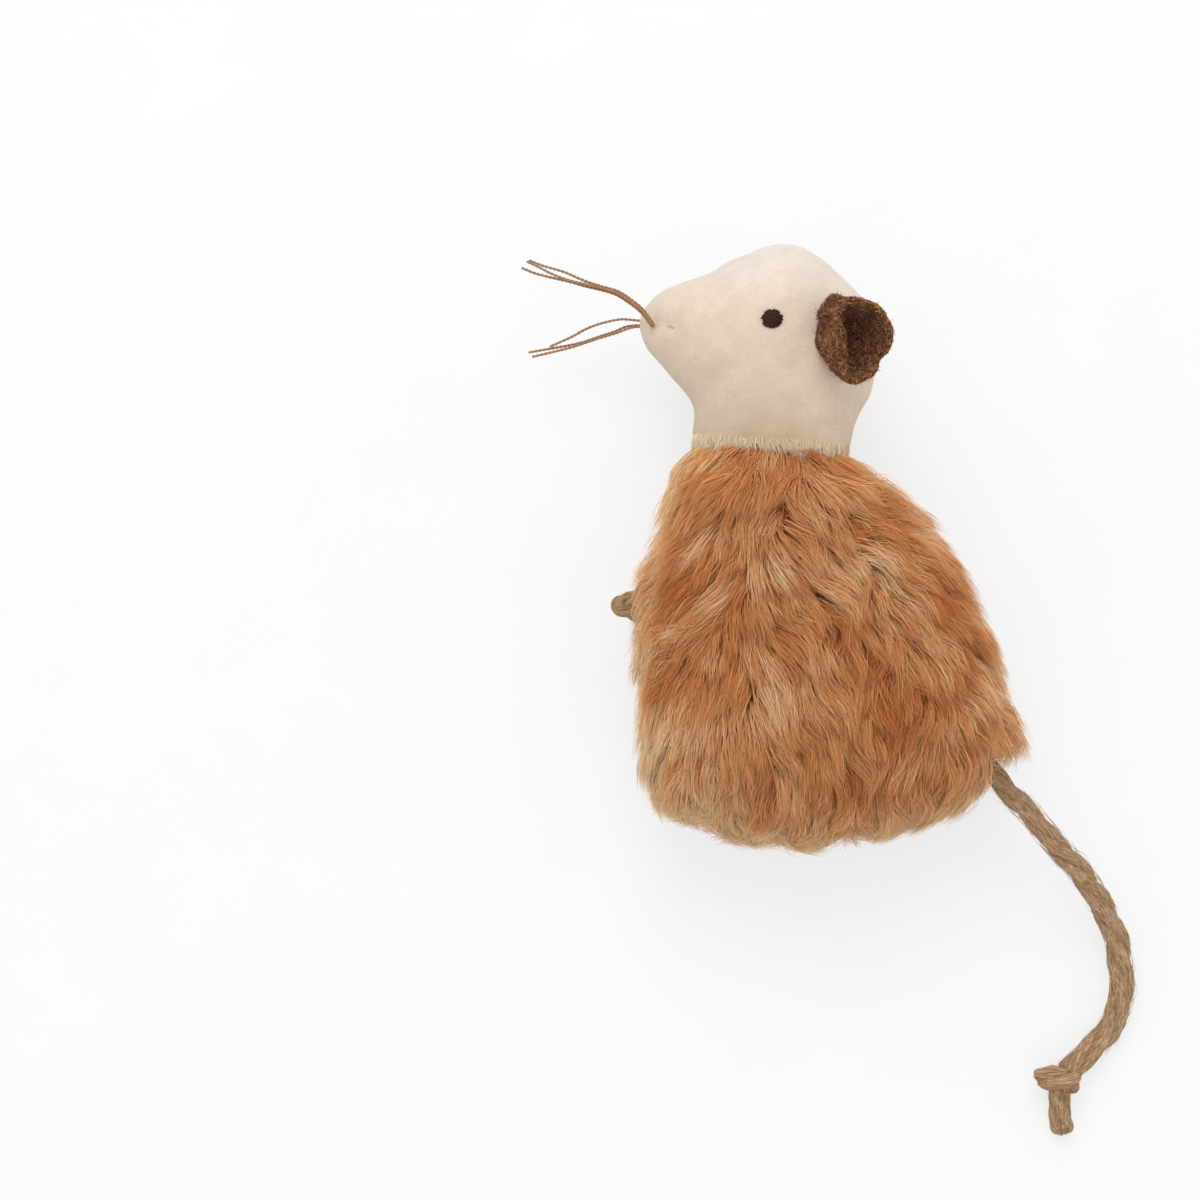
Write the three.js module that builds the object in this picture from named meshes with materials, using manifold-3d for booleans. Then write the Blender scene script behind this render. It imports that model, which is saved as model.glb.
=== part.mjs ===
// A plush catnip mouse that lies on its right side, with a sachet of catnip in a pocket in its base.
// Millimetres. +X runs from the nose side to the tail side, +Y from the base to the crown of the head
// and +Z up from the floor to the toy's left side. The sewn centre seam lies level at SEAM_Z.
import * as THREE from "three";
import { mergeVertices } from "three/addons/utils/BufferGeometryUtils.js";
import Module from "manifold-3d";

const wasm = await Module();
wasm.setup();

// Driving dimensions
const SEAM_Z = 18;
const GAP = 0.3;
const SEAM_GAP = 1.1;
const THREAD_RADIUS = 0.25;
const SPACE = 400;

// The stuffed body, of long-pile fur: its outline from the base, up the back, over the neck and down
// the front, and how far it swells above and below the seam.
const BODY = {
  centre: [9, -22.6],
  up: 23,
  down: 18.5,
  wall: 5,
  power: 2.6,
  slimming: 0,
  outline: [
    [5.7, -54.6], [19.7, -53.0], [31.0, -48.8], [39.6, -43.2], [44.4, -36.4], [43.0, -27.4], [39.8, -17],
    [35.2, -6.4], [28.6, 3.6], [21, 11], [14.7, 16.5], [11, 23], [0, 26], [-11.5, 24], [-14.8, 18.2],
    [-18.4, 11.6], [-20.5, 1.6], [-24.3, -7.9], [-25.1, -17], [-24.2, -28], [-23.3, -39.4], [-19.6, -47.8],
    [-8.6, -52.6],
  ],
};

// The stuffed head, of short-pile plush: its outline from the throat, round the neck and the back of the
// head, over the crown and down to the nose. It is slimmed towards the snout.
const HEAD = {
  centre: [0.9, 35.6],
  up: 17,
  down: 18.5,
  wall: 1.8,
  power: 2.4,
  slimming: 0.34,
  outline: [
    [-18.4, 29.5], [-14.9, 25.0], [-14.3, 18.6], [-11, 11.8], [0, 9.4], [11, 11.2], [14.4, 17.2],
    [15.8, 22.4], [18.6, 26.9], [19.8, 33], [18.6, 41.4], [14, 48], [8.4, 52.6], [2.6, 54.6], [-3, 53.2],
    [-11.4, 49.6], [-17.6, 47.4], [-21.8, 44.4], [-24.1, 39.8], [-22.9, 35.2],
  ],
};
const SNOUT_FROM = 5;
const SNOUT_TO = 21;

// The neck plane, where the head is sewn to the body
const NECK_POINT = [0.1, 17.35];
const NECK_TILT = THREE.MathUtils.degToRad(-4.1);
const NECK_SEAM_RADII = [13.2, 11];

// Seams, as stretches of the outlines counted from 0 to 1, and how far inside the outline they run
const HEAD_SEAM = { from: 0.37, to: 1.07, inset: 0.9 };
const BACK_SEAM = { from: 0.085, to: 0.41, inset: 4.3 };
const FRONT_SEAM = { from: 0.62, to: 0.905, inset: 4.3 };

// Embroidered eyes, one on each side of the head, and the stitch of the mouth
const EYE_AT = [-0.2, 39.4];
const EYE_RADII = [2.0, 1.7, 0.9];
const PRESSED_EYE_RADII = [2.0, 1.7, 0.55];
const PRESSED_EYE_Z = 0.75;
const EYE_SINK = 0.1;
const MOUTH_STITCH = [[-18.3, 38.7], [-17.4, 38.5], [-16.6, 38.0]];

// Felt ears: a cup that leans back, and the hidden one that the head presses flat on the floor. The seat
// is the felt's thickness where it is gathered and sewn down.
const LEFT_EAR = {
  base: [9.6, 36.5, 31.0],
  rim: [15.7, 35.4, 38.6],
  radii: [5.4, 7.5],
  thick: 1.8,
  seat: 3.3,
  rimTilt: -0.22,
};
const RIGHT_EAR = {
  base: [14.9, 37.0, 3.4],
  rim: [15.3, 37.0, 0.4],
  radii: [4.4, 6.3],
  thick: 1.5,
  seat: 1.5,
  rimTilt: 0,
};
const CUP_CURVE = { lean: 1.6, spread: 3, rise: 1.3 };

// Whiskers: threads that cross the snout at WHISKER_AT and fan out on each side
const WHISKER_AT = [-21.3, 39.6];
const WHISKER_RADIUS = 0.25;
const WHISKER_ANCHOR = { radius: 0.9, low: 12.3, high: 23.2 };
const LEFT_WHISKERS = [
  [[-20.8, 40.0, 24.0], [-22.5, 42.4, 24.9], [-25.3, 44.9, 25.5], [-33.6, 47.9, 25.9], [-43.0, 50.9, 25.2]],
  [[-21.3, 39.6, 24.5], [-23.0, 41.9, 25.6], [-25.7, 44.4, 26.2], [-33.5, 47.2, 26.5], [-43.8, 50.2, 26.2]],
  [[-21.8, 39.2, 24.0], [-23.5, 41.5, 24.9], [-26.1, 43.9, 25.5], [-33.4, 46.5, 25.7], [-44.4, 49.0, 24.6]],
];
const RIGHT_WHISKERS = [
  [[-21.5, 40.2, 11.4], [-24.4, 40.4, 10.9], [-31.4, 39.0, 10.6], [-35.5, 37.4, 10.6], [-40.6, 35.4, 10.3]],
  [[-21.3, 39.4, 11.1], [-24.4, 39.3, 9.8], [-30.1, 37.6, 9.5], [-35.0, 36.2, 9.5], [-43.2, 34.6, 9.2]],
  [[-21.1, 38.6, 11.4], [-24.2, 38.4, 10.7], [-29.9, 36.6, 10.4], [-34.8, 35.2, 10.4], [-42.6, 33.4, 10.1]],
];

// Jute: the tail's route from its hinge at the back seam down to the floor, its knot and its cut end,
// and the loop that stands for the paws
const TAIL_RADIUS = 2.3;
const TAIL_ROOT = [[38.9, -40.0, 18], [41.2, -42.5, 18]];
const TAIL_ROUTE = [
  [43.0, -44.5, 17.9], [46.6, -48.3, 17.2], [50.9, -53.3, 15.0], [55.8, -58.5, 11.4], [60.3, -64.9, 7.4],
  [63.4, -71.2, 4.5], [64.6, -77.9, 3.1], [64.5, -83.1, 2.6], [62.4, -88.3, 2.5], [58.8, -92.3, 2.8],
  [56.3, -94.3, 3.4],
];
const TAIL_KNOT = { at: [53.1, -97.3, 3.9], radii: [4.3, 3.0, 3.7], turn: -0.35 };
const TAIL_END = [[53.3, -101.0, 3.0], [53.5, -104, 2.6], [53.9, -107, 2.4]];
const PAW_RADIUS = 1.2;
const PAW_ROUTE = [
  [-21.8, -8.6, 18], [-23.8, -8.9, 18], [-26.0, -9.2, 18], [-27.5, -10.4, 18], [-27.2, -12.1, 18],
  [-25.4, -14.0, 18], [-23.2, -16.6, 18],
];

// The pocket in the base: its mouth, the liner, the closing strips and the sachet, folded twice
const MOUTH_MIDDLE = 6.3;
const SACHET = { width: 25, depth: 32.5, front: -42.5, middle: 23.4, half: 4.1, web: 0.35, herb: 24 };
const LINER = { wall: 0.6, clear: 0.7, back: -9.4, front: -43.4, low: 18.2, high: 28.6 };
const LIP = { low: 20.35, high: 28.9 };
const STRIP = { width: 25.6, thick: 1, front: -52, back: -44.6, loop: 17.75, hook: 19.05 };
const SACHET_CORE = { herb: 3.45, herbInner: 1.0, inner: 0.7 };

// Mesh fineness
const SKIN = { round: 44, rings: 9 };
const FILL = { round: 32, rings: 7 };
const EAR_GRID = { round: 20, rings: 6 };
const SEAM_GRID = { round: 240, points: 24, sides: 4, steps: 30 };
const NECK_GRID = { sides: 4, round: 28 };
const EYE_GRID = { round: 14, rings: 8 };
const KNOT_GRID = { round: 16, rings: 10 };
const CORD_SIDES = 8;
const THREAD_SIDES = 6;
const TAIL_STEPS = 24;
const LOOP_STEPS = 12;
const STUB_STEPS = 4;
const FOLD_SEGMENTS = 5;
const BEARINGS = 360;
const MERGE_WITHIN = 1e-4;

const FINISHES = {
  plush: [0xebdcc8, 0.95],
  fur: [0xbe8255, 0.9],
  felt: [0x5c3a24, 1.0],
  jute: [0xa5825a, 0.95],
  waxedThread: [0x9a6a42, 0.7],
  eyeThread: [0x2a1a16, 0.6],
  sewingThread: [0xd9c7ae, 0.8],
  fibre: [0xf2f0ea, 1.0],
  cotton: [0xe6dccb, 0.9],
  nylon: [0xb08a62, 0.7],
  spunbond: [0xe9ece8, 0.85],
  herb: [0x7d8470, 1.0],
};

// Solids: a geometry becomes a solid to cut and join, and a solid becomes a geometry again.
function solid(geometry) {
  const bare = geometry.clone();
  bare.deleteAttribute("normal");
  bare.deleteAttribute("uv");
  const merged = mergeVertices(bare, MERGE_WITHIN);
  return new wasm.Manifold(
    new wasm.Mesh({
      numProp: 3,
      vertProperties: new Float32Array(merged.attributes.position.array),
      triVerts: new Uint32Array(merged.index.array),
    }),
  );
}

function geometryOf(shape) {
  const mesh = shape.getMesh();
  const geometry = new THREE.BufferGeometry();
  geometry.setAttribute("position", new THREE.BufferAttribute(new Float32Array(mesh.vertProperties), 3));
  geometry.setIndex(new THREE.BufferAttribute(new Uint32Array(mesh.triVerts), 1));
  geometry.computeVertexNormals();
  return geometry;
}

function cut(shape, ...tools) {
  return tools.reduce((left, tool) => left.subtract(tool), shape);
}

function piece(name, shape, finish) {
  const [color, roughness] = FINISHES[finish];
  const geometry = shape.isBufferGeometry ? shape : geometryOf(shape);
  const mesh = new THREE.Mesh(geometry, new THREE.MeshStandardMaterial({ color, roughness, metalness: 0 }));
  mesh.name = name;
  return mesh;
}

function boxBetween(low, high) {
  const size = high.map((value, axis) => value - low[axis]);
  const middle = high.map((value, axis) => (value + low[axis]) / 2);
  return new THREE.BoxGeometry(...size).translate(...middle);
}

function above(z) {
  return solid(boxBetween([-SPACE, -SPACE, z], [SPACE, SPACE, z + SPACE]));
}

function below(z) {
  return solid(boxBetween([-SPACE, -SPACE, z - SPACE], [SPACE, SPACE, z]));
}

// All space on the head's side (1) or the body's side (-1) of the neck plane
function beyondNeck(side) {
  const half = new THREE.BoxGeometry(SPACE, SPACE, SPACE);
  half.translate(0, side * (SPACE / 2 + SEAM_GAP / 2), 0);
  half.rotateZ(NECK_TILT);
  return solid(half.translate(NECK_POINT[0], NECK_POINT[1], SEAM_Z));
}

// Points evenly spaced round a form's outline, moved inwards by inset
function rimOf(form, inset, round) {
  const corners = form.outline.map(([x, y]) => new THREE.Vector3(x, y, 0));
  const curve = new THREE.CatmullRomCurve3(corners, true);
  return Array.from({ length: round }, (_, i) => {
    const point = curve.getPointAt(i / round);
    const along = curve.getTangentAt(i / round);
    return new THREE.Vector2(point.x - along.y * inset, point.y + along.x * inset);
  });
}

// Height over the seam of a form's skin: reach is 0 at the form's centre and 1 at its outline.
function swell(form, inset, x, reach, side) {
  const full = side > 0 ? form.up : form.down;
  const slim = 1 - form.slimming * THREE.MathUtils.smoothstep(-x, SNOUT_FROM, SNOUT_TO);
  return side * (full - inset) * slim * Math.sqrt(Math.max(0, 1 - reach ** form.power));
}

function skinHeight(form, x, y, side) {
  const [cx, cy] = form.centre;
  const ray = Math.atan2(y - cy, x - cx);
  const bearing = (p) => Math.atan2(p.y - cy, p.x - cx);
  const turn = (p) => Math.abs(Math.atan2(Math.sin(ray - bearing(p)), Math.cos(ray - bearing(p))));
  const rim = rimOf(form, 0, BEARINGS).reduce((best, p) => (turn(p) < turn(best) ? p : best));
  const reach = Math.hypot(x - cx, y - cy) / Math.hypot(rim.x - cx, rim.y - cy);
  return SEAM_Z + swell(form, 0, x, reach, side);
}

// A stuffed form: rings from the lower middle, out to the seam at the outline, and in to the upper middle
function cushion(form, inset, { round, rings }) {
  const rim = rimOf(form, inset, round);
  const [cx, cy] = form.centre;
  const points = [];
  for (let ring = 1 - rings; ring < rings; ring++) {
    const reach = Math.cos(((ring / rings) * Math.PI) / 2);
    for (const p of rim) {
      const x = cx + (p.x - cx) * reach;
      const y = cy + (p.y - cy) * reach;
      points.push(x, y, SEAM_Z + swell(form, inset, x, reach, Math.sign(ring)));
    }
  }
  const lowPole = points.length / 3;
  points.push(cx, cy, SEAM_Z + swell(form, inset, cx, 0, -1));
  points.push(cx, cy, SEAM_Z + swell(form, inset, cx, 0, 1));
  const faces = [];
  const last = lowPole - round;
  for (let i = 0; i < round; i++) {
    const next = (i + 1) % round;
    faces.push(next, i, lowPole, last + i, last + next, lowPole + 1);
    for (let ring = 0; ring < 2 * rings - 2; ring++) {
      const a = ring * round;
      faces.push(a + i, a + next, a + round + next, a + i, a + round + next, a + round + i);
    }
  }
  return solid(meshOf(points, faces));
}

function meshOf(points, faces) {
  const geometry = new THREE.BufferGeometry();
  geometry.setAttribute("position", new THREE.Float32BufferAttribute(points, 3));
  geometry.setIndex(faces);
  return geometry;
}

// A round cord or thread along a route
function cord(route, radius, sides, steps) {
  const path = new THREE.CatmullRomCurve3(route.map((p) => new THREE.Vector3(...p)));
  const section = new THREE.Shape().absarc(0, 0, radius, 0, 2 * Math.PI);
  return new THREE.ExtrudeGeometry(section, {
    steps,
    curveSegments: sides / 2,
    bevelEnabled: false,
    extrudePath: path,
  });
}

// The thread of a seam, along a stretch of a form's outline
function seamThread(form, { from, to, inset }) {
  const { round, points, sides, steps } = SEAM_GRID;
  const rim = rimOf(form, inset, round);
  const route = Array.from({ length: points + 1 }, (_, i) => {
    const p = rim[Math.round((from + ((to - from) * i) / points) * round) % round];
    return [p.x, p.y, SEAM_Z];
  });
  return cord(route, THREAD_RADIUS, sides, steps);
}

function ellipsoid(radii, at, turn, { round, rings }) {
  const ball = new THREE.SphereGeometry(1, round, rings).scale(...radii);
  return solid(ball.rotateZ(turn).translate(...at));
}

// A felt cup: a bowl from its sewn base out to the rim, as an outer and an inner face joined at the rim
function feltCup({ base, rim, radii, thick, seat, rimTilt }, side) {
  const { round, rings } = EAR_GRID;
  const points = [];
  const layers = [
    { start: base[2], grow: 0 },
    { start: base[2] + side * seat, grow: -thick },
  ];
  for (const { start, grow } of layers) {
    points.push(base[0], base[1], start);
    for (let ring = 1; ring <= rings; ring++) {
      const s = ring / rings;
      const lean = s ** CUP_CURVE.lean;
      const spread = 1 - (1 - s) ** CUP_CURVE.spread;
      for (let i = 0; i < round; i++) {
        const angle = (2 * Math.PI * i) / round;
        const x = THREE.MathUtils.lerp(base[0], rim[0], lean) + (radii[0] + grow) * spread * Math.cos(angle);
        const y = THREE.MathUtils.lerp(base[1], rim[1], lean) + (radii[1] + grow) * spread * Math.sin(angle);
        const brim = rim[2] + rimTilt * (x - rim[0]);
        points.push(x, y, THREE.MathUtils.lerp(start, brim, s ** CUP_CURVE.rise));
      }
    }
  }
  const layer = 1 + rings * round;
  const faces = [];
  for (let i = 0; i < round; i++) {
    const next = (i + 1) % round;
    faces.push(1 + next, 1 + i, 0, layer + 1 + i, layer + 1 + next, layer);
    for (let ring = 0; ring < rings - 1; ring++) {
      const a = 1 + ring * round;
      const b = layer + a;
      faces.push(a + i, a + next, a + round + next, a + i, a + round + next, a + round + i);
      faces.push(b + next, b + i, b + round + i, b + next, b + round + i, b + round + next);
    }
    const outer = 1 + (rings - 1) * round;
    const inner = layer + outer;
    faces.push(outer + i, outer + next, inner + next, outer + i, inner + next, inner + i);
  }
  if (side < 0) {
    faces.reverse();
  }
  return solid(meshOf(points, faces));
}

// A sheet folded once round a line along Y: an upper and a lower leaf that meet in a round fold
function foldedSheet(outer, inner, depth, front) {
  const left = MOUTH_MIDDLE - SACHET.width / 2;
  const fold = MOUTH_MIDDLE + SACHET.width / 2 - SACHET.half;
  const shape = new THREE.Shape();
  shape.moveTo(left, -outer);
  shape.lineTo(fold, -outer);
  shape.absarc(fold, 0, outer, -Math.PI / 2, Math.PI / 2, false);
  shape.lineTo(left, outer);
  shape.lineTo(left, inner);
  shape.lineTo(fold, inner);
  shape.absarc(fold, 0, inner, Math.PI / 2, -Math.PI / 2, true);
  shape.lineTo(left, -inner);
  const band = new THREE.ExtrudeGeometry(shape, { depth, bevelEnabled: false, curveSegments: FOLD_SEGMENTS });
  return band.rotateX(Math.PI / 2).translate(0, front + depth, SACHET.middle);
}

function strip(name, low) {
  const half = STRIP.width / 2;
  const corner = [MOUTH_MIDDLE - half, STRIP.front, low];
  const far = [MOUTH_MIDDLE + half, STRIP.back, low + STRIP.thick];
  return piece(name, boxBetween(corner, far), "nylon");
}

// The head: two plush panels round a stuffing, with eyes, mouth stitch, seams and whisker anchor
function buildHead() {
  const skin = cushion(HEAD, 0, SKIN).intersect(above(0)).intersect(beyondNeck(1));
  const hollow = cushion(HEAD, HEAD.wall, FILL);
  const stuffing = cushion(HEAD, HEAD.wall + GAP, FILL).intersect(beyondNeck(1));
  const panels = skin.subtract(hollow);
  const [ex, ey] = EYE_AT;
  const leftEyeAt = [ex, ey, skinHeight(HEAD, ex, ey, 1) - EYE_SINK];
  const rightEyeAt = [ex, ey, PRESSED_EYE_Z];
  const eye = (radii, at) => ellipsoid(radii, at, 0, EYE_GRID);
  const socket = (radii, at) => ellipsoid(radii.map((r) => r + GAP), at, 0, EYE_GRID);
  const { radius, low, high } = WHISKER_ANCHOR;
  const anchorRoute = [[...WHISKER_AT, low], [...WHISKER_AT, (low + high) / 2], [...WHISKER_AT, high]];
  const holeRoute = [[...WHISKER_AT, 0], [...WHISKER_AT, SEAM_Z], [...WHISKER_AT, 2 * SEAM_Z]];
  const hole = solid(cord(holeRoute, radius + GAP, CORD_SIDES, 1));
  const left = panels.intersect(above(SEAM_Z + SEAM_GAP / 2));
  const right = panels.intersect(below(SEAM_Z - SEAM_GAP / 2));
  const mouth = MOUTH_STITCH.map(([x, y]) => [x, y, skinHeight(HEAD, x, y, 1) + GAP + THREAD_RADIUS]);
  const head = new THREE.Group();
  head.add(
    piece("head_left_panel", cut(left, socket(EYE_RADII, leftEyeAt), hole), "plush"),
    piece("head_right_panel", cut(right, socket(PRESSED_EYE_RADII, rightEyeAt), hole), "plush"),
    piece("head_stuffing", cut(stuffing, hole), "fibre"),
    piece("left_eye", eye(EYE_RADII, leftEyeAt), "eyeThread"),
    piece("right_eye", eye(PRESSED_EYE_RADII, rightEyeAt), "eyeThread"),
    piece("mouth_stitch", cord(mouth, THREAD_RADIUS, THREAD_SIDES, STUB_STEPS), "eyeThread"),
    piece("head_seam_thread", seamThread(HEAD, HEAD_SEAM), "sewingThread"),
    piece("neck_seam_thread", neckSeam(), "sewingThread"),
    piece("whisker_anchor", cord(anchorRoute, radius, CORD_SIDES, 1), "waxedThread"),
  );
  return head;
}

function neckSeam() {
  const [wide, tall] = NECK_SEAM_RADII;
  const ring = new THREE.TorusGeometry(1, THREAD_RADIUS / wide, NECK_GRID.sides, NECK_GRID.round);
  ring.scale(wide, tall, wide);
  ring.rotateX(Math.PI / 2).rotateZ(NECK_TILT);
  return solid(ring.translate(NECK_POINT[0], NECK_POINT[1], SEAM_Z));
}

function buildEars() {
  const clearOfHead = cushion(HEAD, -GAP, SKIN);
  const ears = new THREE.Group();
  ears.add(
    piece("left_ear", feltCup(LEFT_EAR, 1).subtract(clearOfHead), "felt"),
    piece("right_ear", feltCup(RIGHT_EAR, -1).subtract(clearOfHead), "felt"),
  );
  return ears;
}

function buildWhiskers(prefix, routes) {
  const bundle = new THREE.Group();
  routes.forEach((route, i) => {
    const thread = cord(route, WHISKER_RADIUS, THREAD_SIDES, LOOP_STEPS);
    bundle.add(piece(`${prefix}_whisker_${i + 1}`, thread, "waxedThread"));
  });
  return bundle;
}

// The body: two fur panels, with the base lip cut out of the left one, round two wads of stuffing
// that hold the pocket between them
function buildBody() {
  const skin = cushion(BODY, 0, SKIN).intersect(above(0)).intersect(beyondNeck(-1));
  const fur = skin.subtract(cushion(BODY, BODY.wall, FILL));
  const fill = cushion(BODY, BODY.wall + GAP, FILL).intersect(beyondNeck(-1));
  const half = SACHET.width / 2 + LINER.clear + LINER.wall;
  const pocketFrom = [MOUTH_MIDDLE - half - GAP, -SPACE, SEAM_Z - SEAM_GAP / 2 - GAP];
  const pocket = solid(boxBetween(pocketFrom, [MOUTH_MIDDLE + half + GAP, LINER.back + GAP, LIP.high + GAP]));
  const lipSpace = solid(
    boxBetween([MOUTH_MIDDLE - half, -SPACE, LIP.low], [MOUTH_MIDDLE + half, LINER.front - GAP, LIP.high]),
  );
  const leftFur = fur.intersect(above(SEAM_Z + SEAM_GAP / 2));
  const rightFur = fur.intersect(below(SEAM_Z - SEAM_GAP / 2));
  const roots = [
    solid(cord(TAIL_ROOT, TAIL_RADIUS + GAP, CORD_SIDES, 1)),
    solid(cord(PAW_ROUTE, PAW_RADIUS + GAP, CORD_SIDES, LOOP_STEPS)),
  ];
  const body = new THREE.Group();
  body.add(
    piece("body_left_panel", cut(leftFur, pocket, ...roots), "fur"),
    piece("body_right_panel", cut(rightFur, ...roots), "fur"),
    piece("pocket_lip", leftFur.intersect(lipSpace), "fur"),
    piece("body_left_stuffing", cut(fill.intersect(above(SEAM_Z)), pocket), "fibre"),
    piece("body_right_stuffing", fill.intersect(below(SEAM_Z - SEAM_GAP / 2)), "fibre"),
    piece("body_back_seam_thread", seamThread(BODY, BACK_SEAM), "sewingThread"),
    piece("body_front_seam_thread", seamThread(BODY, FRONT_SEAM), "sewingThread"),
    piece("paw_loop", cord(PAW_ROUTE, PAW_RADIUS, CORD_SIDES, LOOP_STEPS), "jute"),
    piece("tail_root", cord(TAIL_ROOT, TAIL_RADIUS, CORD_SIDES, 1), "jute"),
  );
  return body;
}

function buildPocket() {
  const half = SACHET.width / 2 + LINER.clear;
  const outside = boxBetween(
    [MOUTH_MIDDLE - half - LINER.wall, LINER.front, LINER.low],
    [MOUTH_MIDDLE + half + LINER.wall, LINER.back, LINER.high],
  );
  const inside = boxBetween(
    [MOUTH_MIDDLE - half, -SPACE, LINER.low + LINER.wall],
    [MOUTH_MIDDLE + half, LINER.back - LINER.wall, LINER.high - LINER.wall],
  );
  const pocket = new THREE.Group();
  pocket.add(
    piece("pocket_liner", solid(outside).subtract(solid(inside)), "cotton"),
    strip("loop_strip", STRIP.loop),
    strip("hook_strip", STRIP.hook),
  );
  return pocket;
}

function buildSachet() {
  const { half, web, depth, front, herb } = SACHET;
  const { herb: herbOuter, herbInner, inner } = SACHET_CORE;
  const herbFront = front + (depth - herb) / 2;
  const sachet = new THREE.Group();
  sachet.add(
    piece("sachet_outer_web", foldedSheet(half, half - web, depth, front), "spunbond"),
    piece("catnip_fill", foldedSheet(herbOuter, herbInner, herb, herbFront), "herb"),
    piece("sachet_inner_web", foldedSheet(inner, inner - web, depth, front), "spunbond"),
  );
  return sachet;
}

// The tail: a cord with a round end at its hinge, an overhand knot and the cut end past it
function buildTail() {
  const { at, radii, turn } = TAIL_KNOT;
  const reach = [TAIL_RADIUS, TAIL_RADIUS, TAIL_RADIUS];
  const hingeEnd = ellipsoid(reach, TAIL_ROUTE[0], 0, KNOT_GRID);
  const rope = solid(cord(TAIL_ROUTE, TAIL_RADIUS, CORD_SIDES, TAIL_STEPS)).add(hingeEnd);
  const stub = solid(cord(TAIL_END, TAIL_RADIUS, CORD_SIDES, STUB_STEPS));
  const clearOfKnot = ellipsoid(radii.map((r) => r + GAP), at, turn, KNOT_GRID);
  const tail = new THREE.Group();
  tail.add(
    piece("tail_cord", rope.subtract(clearOfKnot), "jute"),
    piece("tail_knot", ellipsoid(radii, at, turn, KNOT_GRID), "jute"),
    piece("tail_end", stub.subtract(clearOfKnot), "jute"),
  );
  return tail;
}

const mouse = new THREE.Group();
mouse.add(
  buildHead(),
  buildEars(),
  buildWhiskers("left", LEFT_WHISKERS),
  buildWhiskers("right", RIGHT_WHISKERS),
  buildBody(),
  buildPocket(),
  buildSachet(),
  buildTail(),
);

export default mouse;
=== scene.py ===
# %% [markdown]
# A plush catnip mouse that lies on its right side, seen from straight above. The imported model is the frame:
# it says where every piece is and what it moves with. This lesson dresses that frame piece by piece.
# Lengths are written in millimetres and become metres when a mesh is made.

# %% Load the frame
import math

import bmesh
import bpy
import numpy as np
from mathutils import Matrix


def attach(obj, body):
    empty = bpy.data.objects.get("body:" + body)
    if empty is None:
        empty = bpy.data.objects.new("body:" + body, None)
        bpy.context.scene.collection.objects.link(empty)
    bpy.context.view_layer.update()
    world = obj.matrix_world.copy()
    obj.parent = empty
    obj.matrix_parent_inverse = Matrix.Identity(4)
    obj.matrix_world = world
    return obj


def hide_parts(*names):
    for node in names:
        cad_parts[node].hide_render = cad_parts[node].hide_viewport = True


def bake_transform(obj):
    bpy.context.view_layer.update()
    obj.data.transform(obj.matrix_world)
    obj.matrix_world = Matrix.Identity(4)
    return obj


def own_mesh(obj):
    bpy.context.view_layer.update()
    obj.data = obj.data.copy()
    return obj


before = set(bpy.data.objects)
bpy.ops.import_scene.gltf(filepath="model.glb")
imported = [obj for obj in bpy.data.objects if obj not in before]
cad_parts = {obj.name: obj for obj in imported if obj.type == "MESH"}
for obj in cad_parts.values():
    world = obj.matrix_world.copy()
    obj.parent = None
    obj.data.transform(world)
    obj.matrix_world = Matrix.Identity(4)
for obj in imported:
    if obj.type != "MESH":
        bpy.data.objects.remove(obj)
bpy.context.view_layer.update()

MM = 0.001
EAST, NORTH, UP = np.eye(3)
scene = bpy.context.scene

# %% [markdown]
# The camera comes first, so that every later cell can be judged in the picture. It hangs straight over the
# toy, far enough away and with a long lens, so that the tall body hides little of its own sides.

# %% Camera
camera = bpy.data.objects.new("camera", bpy.data.cameras.new("camera"))
camera.data.lens = 135
camera.data.sensor_width = 36
camera.location = (-0.0304, -0.0100, 0.8235)
scene.collection.objects.link(camera)
scene.camera = camera
print("camera at", tuple(round(v, 4) for v in camera.location), "metres")

# %% [markdown]
# Materials here are node trees, and each takes many nodes. A small class keeps them readable: every call adds
# one node, joins or sets its inputs by name, and gives back the socket to go on with. Colours are written as
# the 0 to 255 values that a picture shows, and turned into the linear values that a shader works with.

# %% Short calls for material nodes
MILLIMETRES = (1000, 1000, 1000)


def tint(red, green, blue):
    """The linear colour of a picture colour: each channel's share of 255, put through the screen's curve."""
    share = np.array([red, green, blue]) / 255
    linear = np.where(share > 0.04045, ((share + 0.055) / 1.055) ** 2.4, share / 12.92)
    return (*linear.tolist(), 1.0)


def tints(*stops):
    """The stops of a ramp, each written as a position and a picture colour."""
    return [(position, tint(*color)) for position, *color in stops]


def shades(*stops):
    """The stops of a ramp that darkens: each a position and a grey share, or three shares."""
    return [(position, (*(share * 3 if len(share) == 1 else share), 1.0)) for position, *share in stops]


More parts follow.
